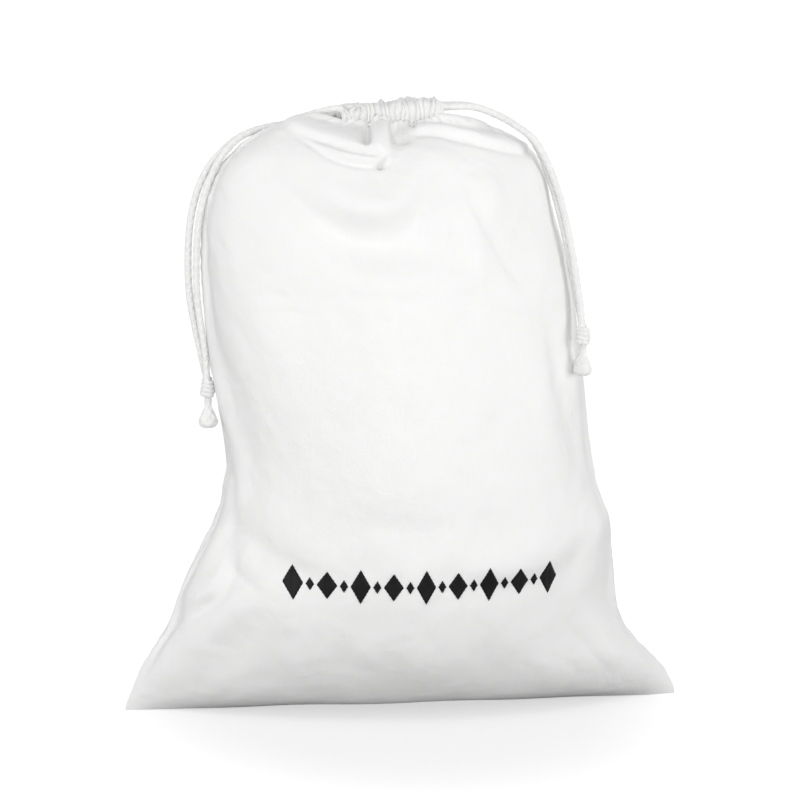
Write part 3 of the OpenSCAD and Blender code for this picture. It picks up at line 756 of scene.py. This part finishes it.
def stitch(centre, along, up, sides=8, rings=7):
    """A short stitch: a thread that dives into the cloth at both ends."""
    along, up = along / np.linalg.norm(along), up / np.linalg.norm(up)
    across = np.cross(along, up)
    points, faces = [], []
    for i in range(rings):
        t = i / (rings - 1)
        r = STITCH_R * max(0.15, math.sin(math.pi * (0.06 + 0.88 * t)) ** 0.4)
        rise = STITCH_R * 1.1 * math.sin(math.pi * t) - 0.25 * STITCH_R
        middle = centre + along * (t - 0.5) * STITCH_LENGTH + up * rise
        for j in range(sides):
            angle = 2 * math.pi * j / sides
            points.append(middle + r * (math.cos(angle) * up + math.sin(angle) * across))
    for i in range(rings - 1):
        a, b = i * sides, (i + 1) * sides
        for j in range(sides):
            k = (j + 1) % sides
            faces.append((a + j, a + k, b + k, b + j))
    faces.append(tuple(range(sides))[::-1])
    faces.append(tuple((rings - 1) * sides + j for j in range(sides)))
    return np.array(points), faces


def casing_stitches(name, grid, side):
    line = grid[STITCH_ROW]
    at = np.arange(2, arc_length(line)[-1] - 2, STITCH_PITCH)
    along = points_at(line, at + 0.8) - points_at(line, at - 0.8)
    out = np.zeros_like(along)
    out[:, 1] = side
    out = out - along * ((out * along).sum(1) / (along * along).sum(1))[:, None]
    centres = points_at(line, at) + out / np.linalg.norm(out, axis=1)[:, None] * 0.12
    return merged_object(name, [stitch(*place) for place in zip(centres, along, out)])


front_stitch = casing_stitches("front_casing_stitches", front_grid, FRONT)
back_stitch = casing_stitches("back_casing_stitches", back_grid, BACK)


def tube(name, line, radius, sides, relief=0.0):
    """Tube along a line, with frames carried along it without twist."""
    tangent = np.gradient(line, axis=0)
    tangent /= np.linalg.norm(tangent, axis=1, keepdims=True)
    normal = np.zeros_like(line)
    start = [0.0, 1.0, 0.0] if abs(tangent[0, 1]) < 0.8 else [1.0, 0.0, 0.0]
    previous = np.array(start)
    for i, t in enumerate(tangent):
        flat = previous - t * (previous @ t)
        previous = normal[i] = flat / max(1e-9, np.linalg.norm(flat))
    binormal = np.cross(tangent, normal)
    turn = np.linspace(0, 2 * math.pi, sides, endpoint=False)[None, :, None]
    r = (radius * np.ones((len(line), sides)) + relief)[..., None]
    rings = line[:, None] + r * (np.cos(turn) * normal[:, None] + np.sin(turn) * binormal[:, None])
    return rings_object(name, rings)


def overlock(name, line, inward):
    """Looped thread around the seam allowance, inside the bag."""
    at = np.arange(0, arc_length(line)[-1], 0.5)
    phase = at / 3.0 * 2 * math.pi
    loops = points_at(line, at) + np.array(inward) * (2.4 + 1.3 * np.cos(phase))[:, None]
    loops[:, 1] += 0.30 * np.sin(phase)
    return tube(name, loops, radius=0.22, sides=6)


def seam_line(angle):
    line = skin(np.linspace(1.0, LAST - 1.4, 220), np.array([angle]), FRONT)[:, 0]
    line[:, 1] = 0
    return line


bottom_line = np.stack([np.linspace(-186, 186, 400), np.zeros(400), np.full(400, 0.4)], -1)
left_thread = overlock("left_seam_overlock", seam_line(math.pi), inward=(1.0, 0, 0))
right_thread = overlock("right_seam_overlock", seam_line(0.0), inward=(-1.0, 0, 0))
bottom_thread = overlock("bottom_seam_overlock", bottom_line, inward=(0, 0, 1.0))

# ------------------------------------------------------------------ cords
CORD_R, CORD_SIDES, CORD_STEP = 2.5, 22, 0.6
LEG_Y = 14.0     # a leg's distance from the seam plane where it leaves its casing
GAP = 2.8        # a strand's distance from the middle of its pair
# middle line of each pair of strands; the left top leaves the casing, the tails hang
LEFT_TOP = np.array([
    [-47, 0, 435.6], [-58, 1, 435.9], [-70, 1.5, 436], [-84, 2, 434.6], [-98, 2, 430.6],
    [-112, 1.5, 421.6], [-124.6, 1, 411], [-137.5, 0.5, 397.4], [-144.4, 0, 385]], float)
LEFT_TAIL = np.array([
    [-149.5, 0, 368], [-152.6, 0, 348], [-153.6, 0, 322], [-152.6, 0, 300], [-149.6, 0, 280],
    [-145.6, 0, 260], [-141, 0, 242]], float)
RIGHT_TOP = np.array([
    [31.2, 0, 442], [45.4, -1, 441.4], [58, -6, 437], [70, -14, 430.5], [79, -22, 424],
    [87.5, -27.5, 417], [95, -30.5, 403], [101.6, -33.5, 385]], float)
RIGHT_TAIL = np.array([
    [106.5, -37.5, 366], [110.4, -43, 345], [113.8, -48.5, 322], [116.6, -54, 300],
    [118, -58.5, 283]], float)
for path in (LEFT_TOP, LEFT_TAIL, RIGHT_TOP, RIGHT_TAIL):
    path[:, 2] *= HEIGHT_SCALE
KNOT_DROP = 12.7   # from the last point of the tail to the knot's foot
LEFT_KNOT = np.array([-139.4, 0, 242 * HEIGHT_SCALE - KNOT_DROP])
RIGHT_KNOT = np.array([118.2, -60.5, 283 * HEIGHT_SCALE - KNOT_DROP])


def strand(top, tail, side, knot):
    """One strand from the casing's end down into the knot."""
    ends = np.concatenate([top[:1], top, top[-1:]])
    along = ends[2:] - ends[:-2]
    along /= np.linalg.norm(along, axis=1, keepdims=True)
    gap = (GAP + 0.15) / np.sqrt(1 - along[:, 1] ** 2)
    gap[:3] = LEG_Y, LEG_Y * 0.72, LEG_Y * 0.42
    top, tail = top.copy(), tail.copy()
    top[:, 1] += side * gap
    tail[:, 1] += side * GAP
    inside_knot = [knot + [0, side * 2.0, 6.5], knot + [0, side * 1.7, 2.6]]
    points = np.concatenate([top, tail, inside_knot])
    line = spline_at(points, np.linspace(0, len(points) - 1, 700))
    # the two strands wander a little around each other
    u = np.linspace(0, 1, len(line))
    wander = np.clip((u - 0.18) / 0.12, 0, 1) * np.clip((1 - u) / 0.05, 0, 1)
    line[:, 0] += side * 1.1 * wander * np.sin(2 * math.pi * 1.15 * u + 0.6)
    line[:, 1] += 0.25 * side * wander * np.sin(2 * math.pi * 3.1 * u)
    if knot[0] < 0:
        # the left tail lies against the side of the bag, its strands side by side
        near_bag = smoothstep(np.clip((u - 0.30) / 0.16, 0, 1) * np.clip((0.93 - u) / 0.14, 0, 1))
        line[:, 0] += near_bag * (5.4 if side == FRONT else 2.0)
    return line


def braid(arc, turn, strands, pitch, depth, level=0.45):
    """Relief of strands crossing both ways around a cord."""
    twist = 2 * math.pi * arc / pitch
    a = np.cos(strands * turn + twist)
    b = np.cos(strands * turn - twist + math.pi / 2)
    h = np.maximum(a, b)
    return depth * (np.sign(h) * np.abs(h) ** 1.2 - level)


def braided_tube(name, line, step, radius, sides, strands, pitch, depth):
    turn = np.linspace(0, 2 * math.pi, sides, endpoint=False)[None, :]
    arc = np.arange(len(line))[:, None] * step
    return tube(name, line, radius, sides, braid(arc, turn, strands, pitch, depth))


def rest_on_cloth(line, pull):
    """Rise that lays a cord line on the shoulder, also when pulled sideways by `pull`."""
    graph = bpy.context.evaluated_depsgraph_get()
    trees = [BVHTree.FromObject(ob, graph) for ob in (front_cloth, back_cloth)]
    need = np.zeros(len(line))
    for i, (x, y, z) in enumerate(line):
        if z < 330 or abs(x + 8) < 40:
            continue
        for tree in trees:
            for dx in (0.0, 0.33 * pull, 0.67 * pull, pull):
                for dy in (-2.3, 0.0, 2.3):
                    above = Vector(((x + dx) * MM, (y + dy) * MM, 0.6))
                    place = tree.ray_cast(above, Vector((0, 0, -1)))[0]
                    if place is not None:
                        rise = place.z / MM + (3.3 if dy == 0 else 2.1) - z
                        if 0 < rise < 12:
                            need[i] = max(need[i], rise)
    wide = np.array([need[max(0, i - 8):i + 9].max() for i in range(len(need))])
    window = np.hanning(19)
    return np.convolve(wide, window / window.sum(), mode="same")


def build_cord(name, top, tail, knot, leg_z, out_x, turn_x, turn_y, drop):
    """One continuous cord: tail, leg through a casing, half turn, other leg, other tail.

    The legs run from out_x to turn_x, where they are turn_y off the seam plane."""
    heading = 1 if turn_x > out_x else -1
    front = strand(top, tail, FRONT, knot)
    back = strand(top, tail, BACK, knot)
    for line in (front, back):
        near_casing = np.exp(-(np.abs(line[:, 0] - line[0, 0]) / 26) ** 2)
        line[:, 2] += (leg_z - line[0, 2]) * near_casing
    ramp = np.linspace(0, 1, 60)
    leg_x = np.linspace(out_x, turn_x, 60)
    front_leg, back_leg = (
        np.stack([leg_x, side * (LEG_Y + (turn_y - LEG_Y) * ramp), leg_z - drop * ramp], -1)
        for side in (FRONT, BACK))
    angle = np.linspace(-math.pi / 2, math.pi / 2, 50)
    turn = np.stack([turn_x + heading * 9.0 * np.cos(angle), turn_y * np.sin(angle),
                     np.full(50, leg_z - drop)], -1)
    line = np.concatenate([front[::-1], front_leg[1:], turn[1:-1], back_leg[::-1][:-1], back])
    line = even(line, CORD_STEP)
    if knot[0] < 0:
        # the left cord leans back and sags over the shoulder
        sag = np.exp(-(np.abs(line[:, 0] + 80) / 30) ** 3)
        line[:, 1] += 10.0 * sag
        line[:, 2] -= 8.6 * sag
    # ease the joins
    for _ in range(60):
        line[1:-1] = 0.25 * line[:-2] + 0.5 * line[1:-1] + 0.25 * line[2:]
    line[:, 2] += rest_on_cloth(line, pull=-6.0 * heading)
    return braided_tube(name, even(line, CORD_STEP), CORD_STEP, CORD_R - 0.12, CORD_SIDES,
                        strands=4, pitch=6.4, depth=0.30)


left_cord = build_cord("left_cord_braid", LEFT_TOP, LEFT_TAIL, LEFT_KNOT, leg_z=MOUTH_Z + 3.6,
                       out_x=-46, turn_x=12, turn_y=13.6, drop=0.0)
right_cord = build_cord("right_cord_braid", RIGHT_TOP, RIGHT_TAIL, RIGHT_KNOT, leg_z=MOUTH_Z + 8,
                        out_x=27, turn_x=-34, turn_y=11.4, drop=0.6)


def gather_knot(name, at):
    """Cord wrapped four turns round both strands, wider at the foot."""
    turns, top_z, foot_z, step = 4.0, 13.4, 1.7, 0.4
    u = np.linspace(0, 1, 620)
    angle = 2 * math.pi * turns * u
    r = 2.7 + 1.5 * u ** 1.3
    line = np.stack([r * np.cos(angle), r * np.sin(angle) * 1.12,
                     top_z + (foot_z - top_z) * u], -1)
    tuck = (1 - 0.55 * np.linspace(1, 0, 40))[:, None]   # both ends turn in
    line[:40, :2] *= tuck
    line[-40:, :2] *= tuck[::-1]
    return braided_tube(name, even(line + at, step), step, 1.75, 16,
                        strands=3, pitch=4.6, depth=0.22)


left_knot = gather_knot("left_gathering_knot", LEFT_KNOT)
right_knot = gather_knot("right_gathering_knot", RIGHT_KNOT)

# radius, height of the neck and teardrop, from the top down
TEARDROP = np.array([
    (0.4, 7.2), (2.0, 6.8), (2.5, 5.4), (2.5, 3.4), (2.45, 1.4), (2.4, -0.4), (2.4, -1.8),
    (2.5, -3.4), (3.5, -6.2), (4.8, -9.0), (5.9, -12.0), (6.35, -14.4), (6.2, -16.4),
    (5.2, -18.2), (3.4, -19.2), (1.4, -19.55), (0.02, -19.6)], float)
TEARDROP[:, 1] *= 18.7 / 19.6


def teardrop(name, at, turned):
    """Neck and knotted teardrop of braided cord, hanging from the gathering knot."""
    profile = spline_at(TEARDROP, np.linspace(0, len(TEARDROP) - 1, 92))
    r, z = profile[:, 0:1], profile[:, 1:2]
    turn = np.linspace(0, 2 * math.pi, 72, endpoint=False)[None, :]
    relief = braid(arc_length(profile)[:, None], turn, strands=6, pitch=7.4, depth=0.30, level=0.4)
    relief = relief * np.clip(r / 2.5, 0, 1)
    lump = (1 + 0.05 * np.cos(turn * 2 + turned) * np.clip(-z / 12, 0, 1)
            + 0.03 * np.cos(3 * turn + 2 * turned))
    # a soft crease where the cord is folded back on itself
    from_crease = np.angle(np.exp(1j * (turn - 1.1 - turned)))
    crease = (-0.55 * np.exp(-(from_crease / 0.16) ** 2) * np.clip((-z - 6) / 6, 0, 1)
              * np.clip((r - 2) / 3, 0, 1))
    r = r * lump + relief + crease
    rings = np.stack([r * np.cos(turn), r * np.sin(turn), z * np.ones_like(r)], -1)
    return rings_object(name, rings + at - np.array([0, 0, 2.9]))


left_end = teardrop("left_teardrop_end", LEFT_KNOT, turned=0.4)
right_end = teardrop("right_teardrop_end", RIGHT_KNOT, turned=2.2)

# ------------------------------------------------------------------ embroidered band
BAND_LENGTH, BAND_Z, LOZENGES, LOZENGE_HALF = 178.0, 104.5, 9, 12.0
THREAD_ROW = 0.42   # height of one row of thread
front_tree = BVHTree.FromObject(front_cloth, bpy.context.evaluated_depsgraph_get())


def on_front_cloth(x, z):
    """Point of the front cloth at x, z, and its normal towards the front."""
    place, normal = front_tree.ray_cast(Vector((x * MM, -0.4, z * MM)), Vector((0, 1, 0)))[:2]
    normal = np.array(normal)
    return np.array(place) / MM, normal if normal[1] < 0 else -normal


def lozenge(centre_x, centre_z, half_width, half_height):
    """Satin-stitched lozenge: rows of thread across it, split down the middle."""
    rows = int(2 * half_height / THREAD_ROW) | 1
    columns = 13
    top, bottom = [], []
    for i in range(rows):
        up = -1 + 2 * i / (rows - 1)
        half = half_width * (1 - abs(up)) + 0.12
        jitter = 0.18 * math.sin(i * 2.4 + centre_x) + 0.1 * math.sin(i * 5.1)
        for j in range(columns):
            t = -1 + 2 * j / (columns - 1)
            x = centre_x + t * (half + jitter * abs(t))
            place, normal = on_front_cloth(x, centre_z + up * half_height)
            dome = max(0.0, 1 - abs(t) ** 3.2) ** 0.5 * min(1.0, (1 - abs(up)) * 5 + 0.25)
            split = 1 - 0.35 * math.exp(-(t / 0.10) ** 2)
            ridge = 0.13 * math.cos(math.pi * i)
            top.append(place + normal * (0.10 + (0.72 * split + ridge) * dome))
            bottom.append(place - normal * 0.05)
    count = rows * columns
    index = np.arange(count).reshape(rows, columns)
    faces = [*grid_quads(index), *grid_quads(index + count)[:, ::-1]]
    rim = [*index[0], *index[1:, -1], *index[-1, -2::-1], *index[-2:0:-1, 0]]
    for a, b in zip(rim, rim[1:] + rim[:1]):
        faces.append((b, a, a + count, b + count))
    return np.array(top + bottom), faces


def build_band():
    """Large lozenges of alternating height with small ones between, rising to both ends."""
    pitch = BAND_LENGTH / (LOZENGES - 1)
    band_z = lambda x: BAND_Z + 1.2 * (x / (BAND_LENGTH / 2)) ** 2
    parts = []
    for i in range(LOZENGES):
        x = -BAND_LENGTH / 2 + i * pitch
        height = LOZENGE_HALF if i % 2 == 0 else LOZENGE_HALF * 0.8
        parts.append(lozenge(x, band_z(x), pitch * 0.3, height))
        if i < LOZENGES - 1:
            x += pitch / 2
            parts.append(lozenge(x, band_z(x), pitch * 0.12, LOZENGE_HALF * 0.36))
    return merged_object("embroidered_lozenge_band", parts)


motif = build_band()


# ------------------------------------------------------------------ materials
class Material:
    """A node material around one principled shader."""

    def __init__(self, name):
        self.data = bpy.data.materials.new(name)
        self.data.use_nodes = True
        self.tree = self.data.node_tree
        self.tree.nodes.clear()
        self.output = self.node("OutputMaterial")
        self.shader = self.node("BsdfPrincipled")
        self.link(self.shader.outputs["BSDF"], self.output.inputs["Surface"])

    def link(self, source, target):
        self.tree.links.new(source, target)

    def node(self, kind, vector=None, **inputs):
        """New node; an underscore in an input's name stands for a space."""
        node = self.tree.nodes.new("ShaderNode" + kind)
        for name, value in inputs.items():
            node.inputs[name.replace("_", " ")].default_value = value
        if vector is not None:
            self.link(vector, node.inputs["Vector"])
        return node

    def noise(self, vector, **inputs):
        return self.node("TexNoise", vector, **inputs).outputs[0]

    def mapping(self, vector, scale):
        return self.node("Mapping", vector, Scale=scale).outputs[0]

    def math(self, operation, *values):
        node = self.node("Math")
        node.operation = operation
        for socket, value in zip(node.inputs, values):
            if isinstance(value, (int, float)):
                socket.default_value = value
            else:
                self.link(value, socket)
        return node.outputs[0]

    def color_ramp(self, factor, colors, positions):
        node = self.node("ValToRGB")
        for stop, color, position in zip(node.color_ramp.elements, colors, positions):
            stop.color = [*color, 1]
            stop.position = position
        self.link(factor, node.inputs[0])
        self.link(node.outputs[0], self.shader.inputs["Base Color"])

    def bump(self, height, strength):
        node = self.node("Bump", Strength=strength, Distance=1.0)
        self.link(height, node.inputs["Height"])
        self.link(node.outputs[0], self.shader.inputs["Normal"])

    def surface(self, **inputs):
        for name, value in inputs.items():
            self.shader.inputs[name.replace("_", " ")].default_value = value


def cotton_material(name, color):
    thread_pitch = 0.00056         # metres
    across, along = 1400, 55       # yarn noise is fine across a yarn and long along it
    m = Material(name)
    coordinates = m.node("TexCoord")
    flat, body = coordinates.outputs["UV"], coordinates.outputs["Object"]
    separate = m.node("SeparateXYZ")
    m.link(flat, separate.inputs[0])
    # slubs bend the thread lines a little
    bend = m.noise(flat, Scale=90.0, Detail=2.0)
    bend = m.math("MULTIPLY", m.math("SUBTRACT", bend, 0.5), 0.0012)
    warp, weft = (
        m.math("MULTIPLY", m.math("ADD", separate.outputs[k], bend), 2 * math.pi / thread_pitch)
        for k in (0, 1))
    # plain weave from half-rate waves both ways
    wave_x, wave_y = (m.math("SINE", m.math("MULTIPLY", phase, 0.5)) for phase in (warp, weft))
    over = m.math("MULTIPLY", wave_x, wave_y)
    crowns = m.math("ADD", m.math("ABSOLUTE", wave_x), m.math("ABSOLUTE", wave_y))
    weave = m.math("ADD", crowns, m.math("MULTIPLY", over, 0.7))
    # yarn thickness varies along warp and weft
    warp_yarn, weft_yarn = (
        m.noise(m.mapping(flat, scale), Scale=1.0, Detail=2.0)
        for scale in ((across, along, 1), (along, across, 1)))
    slub = m.math("ADD", warp_yarn, weft_yarn)
    # crumple: small sharp ridges and a broad swell
    fine = m.noise(body, Scale=26.0, Detail=5.0, Roughness=0.55, Distortion=0.8)
    broad = m.noise(body, Scale=9.0, Detail=3.0, Roughness=0.5, Distortion=0.5)
    ridge = m.math("ABSOLUTE", m.math("SUBTRACT", fine, 0.5))
    # relief heights in metres
    height = m.math("ADD", m.math("MULTIPLY", weave, 0.00007), m.math("MULTIPLY", slub, 0.00010))
    height = m.math("ADD", height, m.math("MULTIPLY", ridge, 0.0016))
    height = m.math("ADD", height, m.math("MULTIPLY", broad, 0.0030))
    m.bump(height, strength=0.75)
    # colour: a touch greyer on thin yarns and in patches
    patch = m.noise(body, Scale=7.0, Detail=3.0)
    shade = m.math("ADD", m.math("MULTIPLY", patch, 0.62), m.math("MULTIPLY", slub, 0.19))
    m.color_ramp(shade, colors=([c * 0.955 for c in color], color), positions=(0.30, 0.62))
    rough = m.math("ADD", 0.82, m.math("MULTIPLY", slub, 0.07))
    m.link(rough, m.shader.inputs["Roughness"])
    m.surface(Sheen_Weight=0.18, Sheen_Roughness=0.5, Specular_IOR_Level=0.18)
    return m.data


def thread_material(name, color, scale, rough, sheen, bump_mm, vary=0.05, specular=0.25,
                    stretch=(1, 1, 1)):
    m = Material(name)
    body = m.node("TexCoord").outputs["Object"]
    fine = m.noise(m.mapping(body, stretch), Scale=scale, Detail=4.0, Roughness=0.65)
    broad = m.noise(body, Scale=scale * 0.08, Detail=3.0)
    m.bump(m.math("MULTIPLY", fine, bump_mm * 0.001 * 2), strength=0.7)
    dark = [c * (1 - vary) for c in color]
    light = [min(1, c * (1 + vary * 0.4)) for c in color]
    shade = m.math("ADD", m.math("MULTIPLY", fine, 0.6), m.math("MULTIPLY", broad, 0.4))
    m.color_ramp(shade, colors=(dark, light), positions=(0.32, 0.68))
    roughness = m.math("ADD", rough - 0.06, m.math("MULTIPLY", broad, 0.12))
    m.link(roughness, m.shader.inputs["Roughness"])
    m.surface(Sheen_Weight=sheen, Specular_IOR_Level=specular)
    return m.data


cotton = cotton_material("white_cotton", color=(0.90, 0.90, 0.895))
cord_braid = thread_material("braided_cotton_cord", color=(0.84, 0.84, 0.832), scale=1500.0,
                             rough=0.85, sheen=0.3, bump_mm=0.06, vary=0.07)
sewing = thread_material("white_sewing_thread", color=(0.9, 0.9, 0.89), scale=3000.0,
                         rough=0.6, sheen=0.2, bump_mm=0.03)
black = thread_material("black_embroidery_thread", color=(0.005, 0.005, 0.006), scale=900.0,
                        rough=0.5, sheen=0.02, bump_mm=0.05, vary=0.4, specular=0.22,
                        stretch=(0.15, 1, 4))

for material, slot_name, objects in (
        (cotton, "cotton", (front_cloth, back_cloth, front_casing, back_casing)),
        (cord_braid, "cord", (left_cord, right_cord, left_knot, right_knot, left_end, right_end)),
        (sewing, "sewing_thread",
         (front_stitch, back_stitch, left_thread, right_thread, bottom_thread)),
        (black, "black_thread", (motif,))):
    for ob in objects:
        ob.data.materials.append(material)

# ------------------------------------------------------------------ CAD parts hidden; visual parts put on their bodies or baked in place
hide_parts("front_panel")
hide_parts("back_panel")
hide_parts("front_casing")
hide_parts("back_casing")
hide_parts("front_casing_stitching")
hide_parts("back_casing_stitching")
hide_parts("left_seam_thread")
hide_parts("right_seam_thread")
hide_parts("bottom_seam_thread")
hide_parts("embroidered_motif")
for hand, cord, knot, end in (("left", left_cord, left_knot, left_end),
                              ("right", right_cord, right_knot, right_end)):
    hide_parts(f"{hand}_cord_loop",
                f"{hand}_cord_front_strand_top", f"{hand}_cord_back_strand_top",
                f"{hand}_cord_front_strand", f"{hand}_cord_back_strand")
    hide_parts(f"{hand}_cord_knot")
    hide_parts(f"{hand}_cord_end")


def blend(ob):
    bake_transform(ob)


for ob in (front_cloth, back_cloth, left_thread, right_thread, bottom_thread, motif):
    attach(ob, "bag")
for hem, objects in (("front_hem", (front_casing, front_stitch)),
                     ("back_hem", (back_casing, back_stitch))):
    for ob in objects:
        blend(ob)
blend(left_cord)
blend(right_cord)
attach(left_knot, "left_tail")
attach(right_knot, "right_tail")
blend(left_end)
blend(right_end)

# ------------------------------------------------------------------ floor, light, camera (metres)
scene = bpy.context.scene
scene.view_settings.view_transform = "Standard"


def floor_material():
    """Glows to the camera, dimmer in an oval around the bag as a painted shadow, and lights the cloth
    little.
    """
    m = Material("pale_floor")
    body = m.node("TexCoord").outputs["Object"]
    mottle = m.noise(body, Scale=3.0, Detail=2.0)
    m.color_ramp(mottle, colors=([0.355] * 3, [0.365] * 3), positions=(0.0, 1.0))
    m.surface(Roughness=0.9, Specular_IOR_Level=0.0, Emission_Color=(1, 1, 1, 1))
    # the glow is dimmer in an oval around the bag: a painted shadow on the floor under and in front of
    # it
    distance = m.node("VectorMath")
    distance.operation = "LENGTH"
    m.link(m.mapping(body, (1 / 0.27, 1 / 0.40, 1)), distance.inputs[0])
    painted_shadow_glow = m.node("MapRange", From_Min=0.45, From_Max=1.20, To_Min=0.62, To_Max=0.98)
    painted_shadow_glow.interpolation_type = "SMOOTHSTEP"
    m.link(distance.outputs["Value"], painted_shadow_glow.inputs["Value"])
    m.link(painted_shadow_glow.outputs[0], m.shader.inputs["Emission Strength"])
    # what all rays but the camera's meet
    plain = m.node("BsdfDiffuse", Color=(0.56, 0.56, 0.56, 1))
    mix = m.node("MixShader")
    m.link(m.node("LightPath").outputs["Is Camera Ray"], mix.inputs[0])
    m.link(plain.outputs[0], mix.inputs[1])
    m.link(m.shader.outputs[0], mix.inputs[2])
    m.link(mix.outputs[0], m.output.inputs[0])
    return m.data


def build_floor():
    radius, sides = 1.0, 96
    angles = [2 * math.pi * i / sides for i in range(sides)]
    rim = [(radius * math.cos(a), radius * math.sin(a), 0) for a in angles]
    mesh = bpy.data.meshes.new("floor")
    mesh.from_pydata([(0, 0, 0)] + rim, [],
                     [(0, 1 + i, 1 + (i + 1) % sides) for i in range(sides)])
    ob = bpy.data.objects.new("floor", mesh)
    COLLECTION.objects.link(ob)
    mesh.materials.append(floor_material())


def build_world(light, seen):
    """White studio: one strength as light, another as seen by the camera."""
    world = bpy.data.worlds.new("studio")
    scene.world = world
    world.use_nodes = True
    nodes, links = world.node_tree.nodes, world.node_tree.links
    nodes.clear()
    output = nodes.new("ShaderNodeOutputWorld")
    backgrounds = []
    for strength in (light, seen):
        background = nodes.new("ShaderNodeBackground")
        background.inputs["Color"].default_value = (1, 1, 1, 1)
        background.inputs["Strength"].default_value = strength
        backgrounds.append(background)
    rays = nodes.new("ShaderNodeLightPath")
    mix = nodes.new("ShaderNodeMixShader")
    links.new(rays.outputs["Is Camera Ray"], mix.inputs[0])
    for k, background in enumerate(backgrounds):
        links.new(background.outputs[0], mix.inputs[k + 1])
    links.new(mix.outputs[0], output.inputs[0])


def area_light(name, place, target, size, power):
    light = bpy.data.lights.new(name, "AREA")
    light.shape = "SQUARE"
    light.size = size
    light.energy = power
    ob = bpy.data.objects.new(name, light)
    COLLECTION.objects.link(ob)
    ob.location = place
    ob.rotation_euler = (Vector(target) - Vector(place)).to_track_quat("-Z", "Y").to_euler()


def build_camera():
    camera = bpy.data.cameras.new("camera")
    camera.lens = 36 * CAMERA_DISTANCE / VIEW_WIDTH
    camera.sensor_width = 36
    camera.clip_end = 50
    ob = bpy.data.objects.new("camera", camera)
    COLLECTION.objects.link(ob)
    ob.location = CAMERA
    ob.rotation_euler = Vector(-TO_CAMERA).to_track_quat("-Z", "Y").to_euler()
    scene.camera = ob


build_floor()
build_world(light=0.435, seen=1.05)
# name, place, target, side of the square, watts
for lamp in (
        ("front", (-0.10, -2.6, 0.42), (0, 0, 0.18), 1.5, 21),
        ("above", (-0.55, -1.6, 2.20), (0, 0, 0.2), 0.9, 13),
        ("left", (-2.4, -1.1, 0.5), (0, 0, 0.2), 1.4, 19),
        ("right", (2.4, -1.1, 0.24), (0, 0, 0.12), 1.4, 25),
        ("back", (0.2, 0.7, 2.2), (0, 0, 0.1), 1.2, 5),
        ("behind", (0.3, 2.7, 0.9), (0, 0, 0.2), 1.6, 24)):
    area_light(*lamp)
build_camera()
